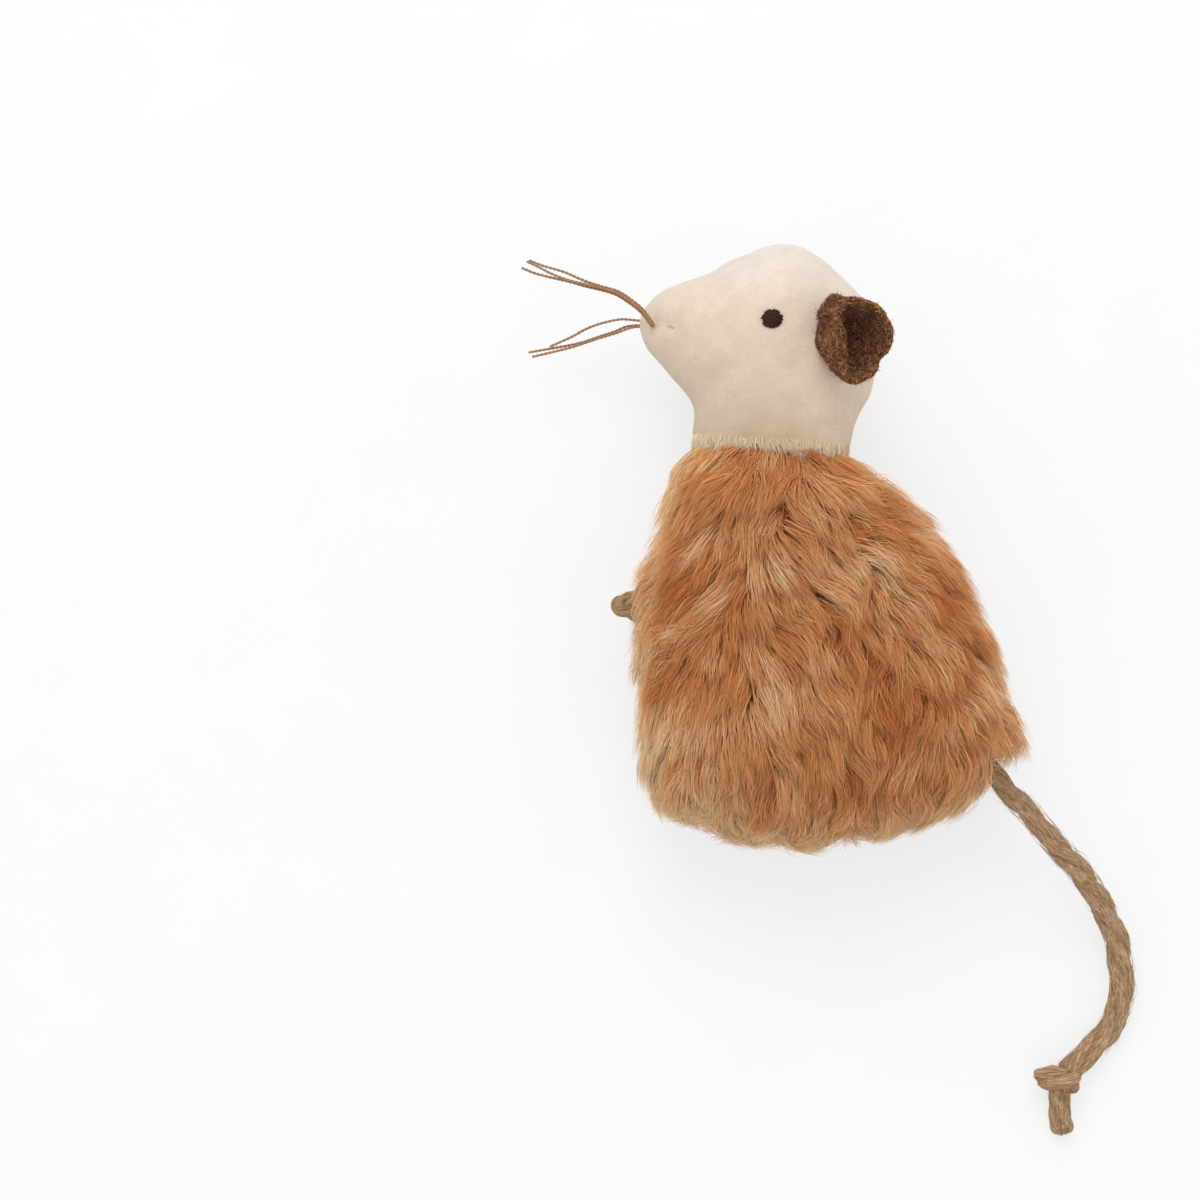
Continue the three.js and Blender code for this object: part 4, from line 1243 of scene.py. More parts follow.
PLUSH = plush_finish()
head_skins, head_pieces = {}, {}
for side, sign in (("left", 1), ("right", -1)):
    points, quads, fan = half_form(HEAD, HEAD_INSET, sign, *HEAD_GRID)
    points = shaped_head(points)
    head_skins[side] = points, triangles_of(quads, fan)
    skin = mesh_piece(
        f"head_{side}_skin", points, [quads, fan], PLUSH, "mouse", f"head_{side}_panel"
    )
    give_wall(cut_at_neck(skin, -1, HEAD_EDGE), PLUSH_WALL)
    head_pieces[side] = skin
    print(skin.name, len(skin.data.polygons), "faces")

# %% [markdown]
# Plush pile is so short and dense that over the head it reads as one velvet surface, which the skin's own
# finish gives. Single strands show only at the neck, where the last rows hang over the body's fur, and there
# they are made.

# %% Neck fringe
PILE_STEPS = 3
PILE_ROOT_RADIUS = 0.048
PILE_SOFTNESS = 0.82
PILE_SKYWARD = 1.1 * UP
PILE_HALF_LENGTH = (1.0, 2.0)
PILE_LIFT = (0.2, 0.65)
PILE_TIP_LIFT = 0.05
PILE_STRAY = 0.25
PILE_LOWEST = (0.1, 0.35)
FRINGE = 1.5


def pile_flow(places, turn):
    """The level direction that the fringe hangs in: towards the body, spread a little, in slow waves."""
    angle = np.arctan2(-1.0, 0.02 * places[:, 0]) + 0.3 * waves(places[:, :2], 11.0, 54) + turn
    return turned(angle, EAST, NORTH)


def neck_fringe(side, count, seed):
    """Strands of three points, the more the nearer the neck's edge: up from the skin by an angle, less so on
    the flanks, then nearly along it. Slow waves lengthen and shorten them together."""
    rng = np.random.default_rng(seed)
    roots, normals = scatter(*head_skins[side], count, rng)
    beyond = past_neck(roots)
    keep = (beyond > 0.1) & (rng.uniform(0, 1, count) < np.maximum(1 - beyond / FRINGE, 0) ** 0.7)
    roots, normals = roots[keep], normals[keep]
    strands = len(roots)
    flow = along_skin(pile_flow(roots, rng.normal(0, PILE_STRAY, strands)), normals)
    half = rng.uniform(*PILE_HALF_LENGTH, strands)[:, None] * (1 + 0.25 * waves(roots, 3.4, 55))[:, None]
    lift = rng.uniform(*PILE_LIFT, strands) * (0.25 + 0.75 * np.abs(normals[:, 2]))
    steps = [turned(angle, flow, normals) for angle in (lift, np.full(strands, PILE_TIP_LIFT))]
    paths = np.stack([roots, roots + half * steps[0], roots + half * (steps[0] + steps[1])], axis=1)
    paths[..., 2] = np.maximum(paths[..., 2], rng.uniform(*PILE_LOWEST, strands)[:, None])
    widths = hair_widths(strands, PILE_STEPS, PILE_ROOT_RADIUS, rng)
    tones = rng.uniform(0, 1, strands)
    facing = np.repeat(unit(normals + PILE_SKYWARD)[:, None], PILE_STEPS, axis=1)
    return strand_piece(
        f"head_{side}_fringe", paths, widths, tones, rng, PILE, "mouse", facing, PILE_SOFTNESS
    )


# The pile's second ramp paints the strands a little darker at the root, as shade.
PILE = strand_finish(
    "plush pile", tints((0.0, 244, 214, 178), (1.0, 255, 238, 210)),
    shades((0.0, 0.94, 0.93, 0.91), (0.5, 1)), roughness=0.9, specular_ior_level=0.05, sheen_weight=0.1,
)
for side, count, seed in (("left", 90000, 57), ("right", 70000, 58)):
    fringe = neck_fringe(side, count, seed)
    print(fringe.name, len(fringe.data.polygons), "faces")

# %% [markdown]
# The eyes are satin stitch: dark thread laid side by side across an oval, in two layers at different slants.
# Each stitch is a thread of its own, bent over the layer below it. The mouth is one small stitch of cream
# thread, pulled in.

# %% Eyes and mouth
EYE_RADII = np.array([1.78, 1.55])
EYE_SLANTS = (0.4, -0.35)
EYE_STITCHES = 9
EYE_SINK = 0.1
STITCH_REACH = 0.93
STITCH_LENGTHS = (0.86, 1.08)
STITCH_STRAY = 0.16
EYE_YARNS = {"yarns": 2, "lay": 1.5, "offset": 0.1, "radius": 0.15, "sides": 8, "rough": 0.06}
LEFT_EYE_DOME = 0.75
RIGHT_EYE_DOME = -0.4
RIGHT_EYE_Z = 0.85
MOUTH_STITCH = np.array([[-18.6, 38.75], [-17.6, 38.5], [-16.6, 38.0]])
MOUTH_SINK = np.array([-0.9, -0.35, -0.9])
MOUTH_YARNS = {"yarns": 2, "lay": 1.6, "offset": 0.12, "radius": 0.16, "sides": 8, "rough": 0.05}


def dark_thread_finish():
    """Near-black brown thread with a soft gloss. Its paler streaks along the fibres are partly painted
    highlights of that gloss.
    """
    finish = Finish("dark thread", roughness=0.6, specular_ior_level=0.22)
    streaks = finish.noise(finish.map_place("yarn", (7, 1.2, 1)), 2.2, 4, 0.6)
    # The palest stop is partly a painted highlight on the eye's threads.
    browns = tints((0.32, 20, 9, 6), (0.5, 48, 27, 20), (0.66, 92, 62, 50))
    return finish.patterned(streaks, browns, 0.6, 0.0001)


def sewing_finish(name, dark, light):
    """Polyester thread: its two plies a little streaked along the lay."""
    finish = Finish(name, roughness=0.55, specular_ior_level=0.4)
    streaks = finish.noise(finish.map_place("yarn", (8, 1.0, 1)), 2.0, 3, 0.6)
    return finish.patterned(streaks, tints((0.3, *dark), (0.7, *light)), 0.5, 0.0001)


def joined(parts):
    """Several cords' points, faces and maps as those of one piece."""
    points, faces, maps = zip(*parts)
    starts = np.cumsum([0] + [len(own) for own in points[:-1]])
    faces = [np.concatenate([own[k] + start for own, start in zip(faces, starts)]) for k in range(2)]
    return np.concatenate(points), faces, [np.concatenate([own[k] for own in maps]) for k in range(2)]


def satin_stitches(middle, rise, seed):
    """Stitch s of a layer spans the oval's chord at the share s across it and arches like a dome: its height
    is the dome's rise times the root of a little over 1, less s squared and the square of the share along the
    chord. The second layer lies higher than the first."""
    rng = np.random.default_rng(seed)
    parts = []
    for layer, slant in enumerate(EYE_SLANTS):
        for s in np.linspace(-STITCH_REACH, STITCH_REACH, EYE_STITCHES):
            along = np.linspace(-1, 1, 12) * math.sqrt(1 - s * s) * rng.uniform(*STITCH_LENGTHS)
            turn = slant + rng.normal(0, STITCH_STRAY)
            u = along * math.cos(turn) - s * math.sin(turn)
            v = along * math.sin(turn) + s * math.cos(turn)
            dome = np.sqrt(np.maximum(0.02, 1.05 - u * u - v * v)) * rise * (0.8 + 0.25 * layer)
            path = np.stack([u * EYE_RADII[0], v * EYE_RADII[1], dome], axis=1) + middle
            parts.append(laid_cord(path, seed=seed + len(parts), **EYE_YARNS))
    return joined(parts)


DARK_THREAD = dark_thread_finish()
CREAM_THREAD = sewing_finish("cream sewing thread", (190, 166, 138), (226, 206, 182))
left_eye_z = skin_height(HEAD, HEAD_INSET, EYE_AT[None], 1)[0] - EYE_SINK
for side, height, dome, seed in (
    ("left", left_eye_z, LEFT_EYE_DOME, 61), ("right", RIGHT_EYE_Z, RIGHT_EYE_DOME, 91),
):
    stitches = satin_stitches(np.array([*EYE_AT, height]), dome, seed)
    cord_piece(f"{side}_eye_stitches", stitches, DARK_THREAD, "mouse", f"{side}_eye")
mouth_z = skin_height(HEAD, HEAD_INSET, MOUTH_STITCH, 1) + MOUTH_SINK
mouth_path = spline(with_height(MOUTH_STITCH, mouth_z), 30)
laid = laid_cord(mouth_path, seed=92, **MOUTH_YARNS)
cord_piece("mouth_thread", laid, CREAM_THREAD, "mouse", "mouth_stitch")
print("eyes of", 2 * EYE_STITCHES, "stitches at height", round(float(left_eye_z), 1), "mm")

# %% [markdown]
# The ear is a round of thick wool felt, rolled into a cup and sewn down behind the cheek. One closed loft
# gives it: up the outside from the sewn edge, over a round rim and down the inside to the cup's floor. The
# felt's one end laps over the other at the front, as a separate tab. Matted hairs cover all of it. Its
# pieces ride on no body.

# %% Left ear
EAR_SEWN = [
    [10, 41.8], [12.6, 41.2], [14, 38.5], [14.2, 35], [13.6, 31.8], [12.8, 29.6], [11.6, 30], [9.6, 32],
    [8, 34], [7.4, 35.6], [7.8, 37.8], [8.4, 40.2],
]
EAR_RIM = [
    [11.2, 41.5, 40.0], [13.9, 42.1, 39.8], [16.5, 41.6, 39.3], [18.7, 40.0, 38.6], [20.0, 37.6, 38.0],
    [20.1, 35.3, 37.6], [19.4, 33.6, 37.2], [18.0, 32.1, 36.8], [17.5, 30.4, 37.4], [16.4, 29.2, 37.9],
    [14.7, 28.4, 38.3], [13.0, 28.5, 38.7], [12.0, 30.2, 39.4], [11.8, 32.6, 40.1], [11.5, 35.0, 40.6],
    [11.1, 37.4, 40.7], [10.8, 39.6, 40.4],
]
EAR_FLOOR = np.array([12.9, 37.0, 33.0])
EAR_BOTTOM = np.array([10.8, 36.0, 30.0])
EAR_SINK = 0.6
EAR_FLAP = [
    [12.2, 42.5, 40.0], [11.3, 43.0, 39.4], [10.2, 43.3, 38.2], [9.1, 42.3, 37.7], [8.1, 40.8, 37.6],
    [7.7, 39.4, 37.6], [8.6, 39.3, 38.9], [10.0, 39.8, 40.3], [11.6, 40.3, 41.2],
]
FLAP_FACING = unit(np.array([-0.45, 0.1, 0.9]))
FELT_HALF = 0.66
EAR_COLUMNS = 128
WALL_ROWS = 18
RIM_ROWS = 9
TAB_COLUMNS = 90
WALL_BULGE = 0.5
WOOL_RADIUS = 0.055
WOOL_STEPS = 5


def felt_finish(name, cup=False):
    """Brown wool felt: matted light and dark browns at two sizes, with a strong fine bump. On the cup, whose
    map goes from the sewn edge over the rim to the floor, the inside is painted darker, as shade under the
    rim."""
    finish = Finish(name, roughness=1.0, specular_ior_level=0.1, sheen_weight=0.1)
    place = finish.object_place(MILLIMETRES)
    mat = finish.noise(place, 1.4, 6, 0.75, 0.8)
    patches = finish.noise(place, 0.28, 3, 0.6)
    wool = finish.ramp(mat, tints((0.37, 58, 28, 9), (0.49, 122, 68, 29), (0.62, 206, 146, 92)))
    color = finish.shaded(wool, patches, shades((0.3, 0.68, 0.64, 0.6), (0.7, 1)))
    if cup:
        way = finish.part(finish.node("UVMap", {}, uv_map="cup"), "Y")
        # Painted shade: the cup's inside is darker, where the rim shades it.
        color = finish.shaded(color, way, shades((0.56, 1), (0.66, 0.54, 0.44, 0.34)))
    return finish.color(color).bump(mat, 1.0, 0.0006).material


def felt_lumps(points, seed):
    """Felt is never even: hills of four and of one millimetre."""
    return lumpy(points, (0.12, 4.5, seed), (0.05, 1.3, seed + 10))


def closed_loft(rows, first, last):
    """Loops of points, row after row, closed by a fan to one point at each end."""
    count, columns = len(rows), len(rows[0])
    quads = grid_faces(count, columns, True)[:, ::-1]
    tip = count * columns
    fans = [fan_faces(0, columns, tip), fan_faces(tip - columns, columns, tip + 1)[:, [1, 0, 2]]]
    return np.concatenate([*rows, [first], [last]]), quads, np.concatenate(fans)


def loft_map(faces, columns, count):
    """A loft's map: round the loop across, and from the first row to the last up."""
    row = np.where(faces == count * columns, 0, np.minimum(faces // columns, count - 1))
    return np.stack([(faces % columns) / columns, row / (count - 1)], axis=-1)


def felt_cup(sewn, rim, floor, bottom, bulge):
    """The outer wall blends from the sewn loop to the rim and swells by bulge times a half sine. The rim is
    half a circle of the felt's thickness. The inner wall goes from the rim to the floor, steeply first and
    level last."""
    out = unit(np.cross(np.roll(rim, -1, axis=0) - np.roll(rim, 1, axis=0), -UP))
    rows = []
    for t in np.linspace(0, 1, WALL_ROWS)[:-1]:
        rows.append(sewn + t * (rim + FELT_HALF * out - sewn) + bulge * math.sin(math.pi * t) * out)
    for a in np.linspace(0, math.pi, RIM_ROWS):
        rows.append(rim + FELT_HALF * (math.cos(a) * out + math.sin(a) * UP))
    inner = rim - FELT_HALF * out
    for s in np.linspace(0, 1, WALL_ROWS)[1:-1]:
        flat = inner[:, :2] + s * (floor[:2] - inner[:, :2])
        fall = inner[:, 2:] + (1 - (1 - s) ** 1.5) * (floor[2] - inner[:, 2:])
        rows.append(np.concatenate([flat, fall], axis=1))
    return closed_loft(rows, bottom, floor)


def felt_tab(outline, half, up, rows=10):
    """A flat piece of felt: its outline drawn in towards the middle, above and below, with a rounded edge
    whose height is half the thickness times the root of 1 - reach to the eighth power."""
    rim = spline(outline, TAB_COLUMNS, closed=True)
    middle = rim.mean(axis=0)
    rings = []
    for a in np.linspace(-1, 1, 2 * rows + 1)[1:-1]:
        reach = math.cos(a * math.pi / 2)
        edge = np.sign(a) * half * math.sqrt(max(0, 1 - reach**8))
        rings.append(middle + reach * (rim - middle) + edge * up)
    points, quads, fans = closed_loft(rings, middle - half * up, middle + half * up)
    return points, quads[:, ::-1], fans[:, ::-1]


def felt_hairs(name, body, points, triangles, count, seed):
    """Wool hairs matted onto the felt: each starts on the surface, runs along it in a random direction and
    curls."""
    rng = np.random.default_rng(seed)
    roots, normals = scatter(points, triangles, count, rng)
    ahead = unit(np.cross(normals, unit(rng.normal(size=(count, 3)))))
    sideways = np.cross(normals, ahead)
    t = np.linspace(0, 1, WOOL_STEPS)[None, :, None]
    run = rng.uniform(0.4, 1.3, count)[:, None, None]
    curl = rng.normal(0, 0.5, count)[:, None, None]
    lift = rng.gamma(1.4, 0.035, count)[:, None, None]
    paths = roots[:, None] + run * t * ahead[:, None] + curl * t**2 * sideways[:, None]
    paths = paths + (0.04 + lift * np.sin(2.4 * t)) * normals[:, None]
    paths[..., 2] = np.maximum(paths[..., 2], FLOOR_GAP)
    widths = tapered(count, WOOL_STEPS, WOOL_RADIUS, 0.6, (0.7, 1.3), rng)
    tones = np.clip(rng.normal(0.48, 0.28, count), 0, 1)
    return strand_piece(name, paths, widths, tones, rng, FELT_HAIR, body)


FELT = felt_finish("wool felt")
CUP_FELT_PAINTED_SHADE = felt_finish("wool felt cup", True)
FELT_HAIR = strand_finish(
    "wool hair", tints((0.0, 64, 34, 16), (0.4, 120, 72, 40), (0.75, 176, 122, 80), (1.0, 226, 184, 144)),
    PAINTED_ROOT_SHADE, roughness=0.85,
)
sewn = spline(EAR_SEWN, EAR_COLUMNS, closed=True)
sewn = with_height(sewn, skin_height(HEAD, HEAD_INSET, sewn, 1) - EAR_SINK)
rim = spline(EAR_RIM, EAR_COLUMNS, closed=True)
points, quads, fans = felt_cup(sewn, rim, EAR_FLOOR, EAR_BOTTOM, WALL_BULGE)
points = felt_lumps(points, seed=71)
maps = [loft_map(faces, EAR_COLUMNS, len(points) // EAR_COLUMNS) for faces in (quads, fans)]
left_cup = mesh_piece("left_ear_cup", points, [quads, fans], CUP_FELT_PAINTED_SHADE, None, "left_ear", "cup", maps)
cup_hairs = felt_hairs("left_ear_hairs", None, points, triangles_of(quads, fans), count=2200, seed=72)
points, quads, fans = felt_tab(EAR_FLAP, FELT_HALF, FLAP_FACING)
points = felt_lumps(points, seed=73)
left_flap = mesh_piece("left_ear_flap", points, [quads, fans], FELT, None)
flap_hairs = felt_hairs("left_ear_flap_hairs", None, points, triangles_of(quads, fans), count=700, seed=74)
for piece in (left_cup, left_flap, cup_hairs, flap_hairs):
    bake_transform(piece)
print("left ear:", len(left_cup.data.polygons) + len(left_flap.data.polygons), "faces")

# %% [markdown]
# The right ear is hidden: the toy lies on it, and the head's weight presses it flat against the floor. It is
# the same felt, folded once on itself.

# %% Right ear
PRESSED_MIDDLE = np.array([15.0, 37.0])
PRESSED_RADII = np.array([4.3, 6.2])
PRESSED_CORNERS = 16
PRESSED_LOWEST = 0.15
LOWER_Z, LOWER_HALF = 1.0, 0.8
UPPER_Z, UPPER_HALF = 2.5, 0.75
UPPER_SHARE = 0.95
UPPER_SHIFT = np.array([0.3, 0.0])
UPPER_SLOPE = 0.03

angle = np.linspace(0, 2 * np.pi, PRESSED_CORNERS, endpoint=False)
oval = PRESSED_MIDDLE + PRESSED_RADII * np.stack([np.cos(angle), np.sin(angle)], axis=1)
lower = with_height(oval, LOWER_Z)
small = oval * UPPER_SHARE + PRESSED_MIDDLE * (1 - UPPER_SHARE) - UPPER_SHIFT
upper = with_height(small, UPPER_Z + UPPER_SLOPE * (PRESSED_MIDDLE[0] - oval[:, 0]))
layers = [felt_tab(outline, half, UP) for outline, half in ((lower, LOWER_HALF), (upper, UPPER_HALF))]
points = felt_lumps(np.concatenate([layer[0] for layer in layers]), seed=75)
points[:, 2] = np.maximum(points[:, 2], PRESSED_LOWEST)
quads, fans = (np.concatenate([layers[0][k], layers[1][k] + len(layers[0][0])]) for k in (1, 2))
right_felt = mesh_piece("right_ear_felt", points, [quads, fans], FELT, "right_ear", "right_ear")
right_hairs = felt_hairs(
    "right_ear_hairs", "right_ear", points, triangles_of(quads, fans), count=1000, seed=76
)
print("right ear in two layers of felt,", len(right_felt.data.polygons), "faces")

# %% [markdown]
# Under the skins is loose polyester fibre: one wad in the head, and two in the body with the pocket between
# them. A wad is the stuffed form again, set back from the skin and made lumpy, because fibre packs in tufts.

# %% Stuffing
WAD_GRID = (110, 22)
HEAD_WAD_INSET = 2.8
BODY_WAD_INSET = 8.8
WAD_CLEARANCE = 1.2
POCKET_X = (-8.4, 21.0)
POCKET_TOP = 29.4
POCKET_BACK = -8.6
LEFT_WAD_GAP = 0.6
THINNEST_WAD = 0.4
RIGHT_WAD_TOP = 17.2


def stuffing_finish():
    """Off-white fibre: fine threads of light and shade, with a soft sheen."""
    finish = Finish("stuffing fibre", roughness=0.9, sheen_weight=0.3)
    fine = finish.noise(finish.object_place((600, 600, 600)), 1.5, 6, 0.8, 1.2)
    return finish.patterned(fine, tints((0.3, 222, 219, 211), (0.7, 247, 245, 240)), 0.8, 0.0006)


def wad(node, form, inset, sides, floors, seed):
    """Two sheets that share the outline: each is a panel of the stuffed form, or, where floors gives a
    height, lies at that height. Points are then moved along all axes by waves, and a strip of faces joins
    the sheets."""
    parts = []
    for side, floor in zip(sides, floors):
        points, quads, fan = half_form(form, inset, side, *WAD_GRID)
        if floor is not None:
            points[:, 2] = floor(points)
            quads, fan = quads[:, ::-1], fan[:, ::-1]
        parts.append((points, quads, fan))
    (a, a_quads, a_fan), (b, b_quads, b_fan) = parts
    points = lumpy(np.concatenate([a, b]), (0.55, 8.0, seed), (0.2, 3.0, seed + 5))
    faces = [np.concatenate([a_quads, b_quads + len(a)]), np.concatenate([a_fan, b_fan + len(a)])]
    piece = mesh_piece(f"{node}_wad", points, faces, STUFFING, "mouse", node)
    return reshaped(piece, lambda mesh: bmesh.ops.bridge_loops(mesh, edges=open_edges(mesh)))


def over_pocket(points):
    """The left wad's underside: just over the seam, or over the pocket, but under the wad's own top."""
    x, y, z = points.T
    pocket = (x > POCKET_X[0]) & (x < POCKET_X[1]) & (y < POCKET_BACK)
    return np.minimum(np.where(pocket, POCKET_TOP, SEAM_Z + LEFT_WAD_GAP), z - THINNEST_WAD)


def under_pocket(points):
    """The right wad's top: level, just under the seam."""
    return np.full(len(points), RIGHT_WAD_TOP)


STUFFING = stuffing_finish()
for node, form, inset, sides, floors, seed, cut_side in (
    ("head_stuffing", HEAD, HEAD_WAD_INSET, (1, -1), (None, None), 101, -1),
    ("body_left_stuffing", BODY, BODY_WAD_INSET, (1, 1), (None, over_pocket), 102, 1),
    ("body_right_stuffing", BODY, BODY_WAD_INSET, (-1, -1), (None, under_pocket), 103, 1),
):
    piece = wad(node, form, inset, sides, floors, seed)
    cut_at_neck(piece, cut_side, WAD_CLEARANCE, closed=True)
    print(piece.name, len(piece.data.polygons), "faces")

# %% [markdown]
# Seams are sewn with a two-ply thread that runs just under the pile. Each follows a stretch of an outline,
# and the neck's runs round the joint between head and body. A short bundle of whisker thread crosses the
# snout inside.

# %% Seams
SEAM_YARNS = {"yarns": 2, "lay": 1.9, "offset": 0.12, "radius": 0.15, "sides": 8, "rough": 0.04}
SEAM_POINTS = 480
HEAD_SEAM_INSET = 1.95
BODY_SEAM_INSET = BACKING_INSET + 0.1
NECK_RADII = (12.0, 10.4)
NECK_POINTS = 260
ANCHOR_Z = (13.0, 17.0, 21.2)
ANCHOR_YARNS = {"yarns": 3, "lay": 6.0, "offset": 0.4, "radius": 0.42, "sides": 10, "rough": 0.06}


def seam_path(form, inset, start, end):
    """The share from start to end of a form's outline, set in by inset, at the seam's height."""
    rim = rim_points(form, inset, SEAM_POINTS)
    way = np.arange(round(start * SEAM_POINTS), round(end * SEAM_POINTS)) % SEAM_POINTS
    return with_height(rim[way], SEAM_Z)


RUST_THREAD = sewing_finish("rust sewing thread", (138, 84, 46), (186, 126, 78))
for name, form, inset, start, end, finish in (
    ("head_seam", HEAD, HEAD_SEAM_INSET, 0.37, 1.07, CREAM_THREAD),
    ("body_back_seam", BODY, BODY_SEAM_INSET, 0.085, 0.41, RUST_THREAD),
    ("body_front_seam", BODY, BODY_SEAM_INSET, 0.62, 0.905, RUST_THREAD),
):
    laid = laid_cord(seam_path(form, inset, start, end), seed=111, **SEAM_YARNS)
    cord_piece(f"{name}_stitches", laid, finish, "mouse", f"{name}_thread")

angle = np.linspace(0, 2 * np.pi, NECK_POINTS)
across = np.array([math.cos(NECK_TILT), math.sin(NECK_TILT), 0.0])
ring = np.cos(angle)[:, None] * across * NECK_RADII[0] + np.sin(angle)[:, None] * (UP * NECK_RADII[1])
neck_path = np.array([*NECK_POINT, SEAM_Z]) + ring
laid = laid_cord(neck_path, seed=112, **SEAM_YARNS, upright=NECK_AXIS)
cord_piece("neck_seam_stitches", laid, CREAM_THREAD, "mouse", "neck_seam_thread")
anchor_path = spline([[*WHISKER_AT, z] for z in ANCHOR_Z], 40)
laid = laid_cord(anchor_path, seed=113, **ANCHOR_YARNS, upright=NORTH)
cord_piece("whisker_anchor_threads", laid, THREAD, "mouse", "whisker_anchor")
print("seams sewn, neck seam", round(cord_length(neck_path), 1), "mm")

# %% [markdown]
# A cotton pocket lies between the wads, open at the base. It is a bag: a rounded section carried from the
# mouth to the back, where it draws in, with the slack wrinkles of thin cloth. A Solidify modifier gives the
# cloth its thickness.

# %% Pocket liner
MOUTH_MIDDLE = 6.3
LINER_HALF = (13.5, 5.05)
LINER_MIDDLE_Z = 23.4
LINER_Y = (-43.4, -9.6)
LINER_GRID = (40, 120)
LINER_CLOSES = 0.8
LINER_END = 0.3
LINER_POWER = 6
LINER_WALL = 0.45


def cotton_finish():
    """Plain-woven natural cotton: two sets of fine bands at right angles, crossed, over a slow mottle."""
    finish = Finish("natural cotton", roughness=0.9, sheen_weight=0.2)
    place = finish.object_place(MILLIMETRES)
    weave = finish.math("MULTIPLY", *(finish.bands(place, 0.7, 0.6, bands_direction=way) for way in "XY"))
    mottle = finish.noise(place, 0.15, 3)
    cloth = finish.ramp(weave, tints((0.0, 206, 190, 164), (0.6, 233, 221, 200)))
    finish.color(finish.shaded(cloth, mottle, shades((0.3, 0.9, 0.89, 0.87), (0.7, 1))))
    return finish.bump(weave, 0.5, 0.0002).material


def squared(share, power):
    """A sine or cosine pushed outwards, so that the oval it draws is nearer to a rectangle."""
    return np.sign(share) * np.abs(share) ** (2 / power)


def liner_bag():
    """Section: a rounded rectangle, the power-6 oval of the two half widths. It keeps its size for most of
    the way and closes over the last fifth as a quarter ellipse does. Waves crease it lightly."""
    rows, columns = LINER_GRID
    way = np.linspace(0, 1, rows)[:, None]
    angle = np.linspace(0, 2 * np.pi, columns, endpoint=False)[None]
    closing = np.clip((way - LINER_CLOSES) / (1 - LINER_CLOSES), 0, 0.98)
    close = np.sqrt(np.maximum(0, 1 - closing**2))
    width = LINER_HALF[0] * (LINER_END + (1 - LINER_END) * close)
    x = MOUTH_MIDDLE + width * squared(np.cos(angle), LINER_POWER)
    z = LINER_MIDDLE_Z + LINER_HALF[1] * close * squared(np.sin(angle), LINER_POWER)
    y = LINER_Y[0] + (LINER_Y[1] - LINER_Y[0]) * way + 0 * angle
    points = np.stack([x, y, z], axis=-1).reshape(-1, 3)
    points = points + 0.12 * waves(points, 6.0, 121)[:, None] * np.array([0.3, 0, 1.0])
    points = np.concatenate([points, [[MOUTH_MIDDLE, LINER_Y[1] + 0.2, LINER_MIDDLE_Z]]])
    fan = fan_faces((rows - 1) * columns, columns, rows * columns)
    return points, grid_faces(rows, columns, True)[:, ::-1], fan[:, ::-1]


points, quads, fan = liner_bag()
COTTON = cotton_finish()
liner = mesh_piece(
    "pocket_liner_bag", points, [quads, fan], COTTON, "mouse", "pocket_liner"
)
give_wall(liner, LINER_WALL)
print("liner bag", len(liner.data.polygons), "faces")

# %% [markdown]
# The pocket closes with hook and loop tape. Each half is a thin woven ribbon: one carries stiff nylon hooks
# in rows, the other a mat of loops. Hooks and loops are strands again, bent over at the top.

# %% Closing strips
STRIP_HALF = (12.8, 3.6)
STRIP_MIDDLE_Y = -48.3
STRIP_CORNERS = 48
STRIP_POWER = 8
STRIP_FILLED = (0.94, 0.9)
HOOK_STRAY = 0.08
TAPE_HALF = 0.22
LOOP_TAPE_Z, HOOK_TAPE_Z = 18.0, 19.8
HOOK_RADIUS = 0.07
HOOK_SHAPE = [(0, 0), (0.0, 0.7), (0.45, 1.0), (1.0, 0.75)]


def nylon_finish():
    """Tan nylon ribbon: close cross bands with a slight gloss."""
    finish = Finish("nylon tape", roughness=0.6, specular_ior_level=0.4)
    bands = finish.bands(finish.object_place(MILLIMETRES), 0.9)
    return finish.patterned(bands, tints((0.2, 150, 112, 76), (0.8, 190, 150, 110)), 0.6, 0.0002)


def strip_tape(name, middle_z, replaced):
    """A ribbon: a power-8 oval outline, closed above and below like the felt tab."""
    angle = np.linspace(0, 2 * np.pi, STRIP_CORNERS, endpoint=False)
    x = MOUTH_MIDDLE + STRIP_HALF[0] * squared(np.cos(angle), STRIP_POWER)
    y = STRIP_MIDDLE_Y + STRIP_HALF[1] * squared(np.sin(angle), STRIP_POWER)
    outline = with_height(np.stack([x, y], axis=1), middle_z)
    points, quads, fans = felt_tab(outline, TAPE_HALF, UP, rows=6)
    return mesh_piece(name, points, [quads, fans], NYLON, "mouse", replaced)


def bent_strands(name, base_z, rise, count, bend, spread, seed):
    """Strands in rows on a ribbon: up by rise, then over by bend in a direction that spread makes random."""
    rng = np.random.default_rng(seed)
    columns = int(math.sqrt(count * STRIP_HALF[0] / STRIP_HALF[1]))
    sizes = (columns, count // columns)
    lines = [np.linspace(-filled, filled, size) for filled, size in zip(STRIP_FILLED, sizes)]
    grid = np.stack(np.meshgrid(*lines), -1).reshape(-1, 2)
    total = len(grid)
    flat = grid * np.array(STRIP_HALF) + [MOUTH_MIDDLE, STRIP_MIDDLE_Y]
    flat = flat + rng.normal(0, HOOK_STRAY, (total, 2))
    over = turned(rng.normal(0, spread, total), NORTH, EAST)
    roots = with_height(flat, base_z)
    paths = np.stack([roots + over * bend * a + np.array([0, 0, rise * b]) for a, b in HOOK_SHAPE], axis=1)
    widths = np.full((total, len(HOOK_SHAPE)), HOOK_RADIUS)
    tones = rng.uniform(0.2, 0.9, total)
    return strand_piece(name, paths, widths, tones, rng, NYLON_STRAND, "mouse")


NYLON = nylon_finish()
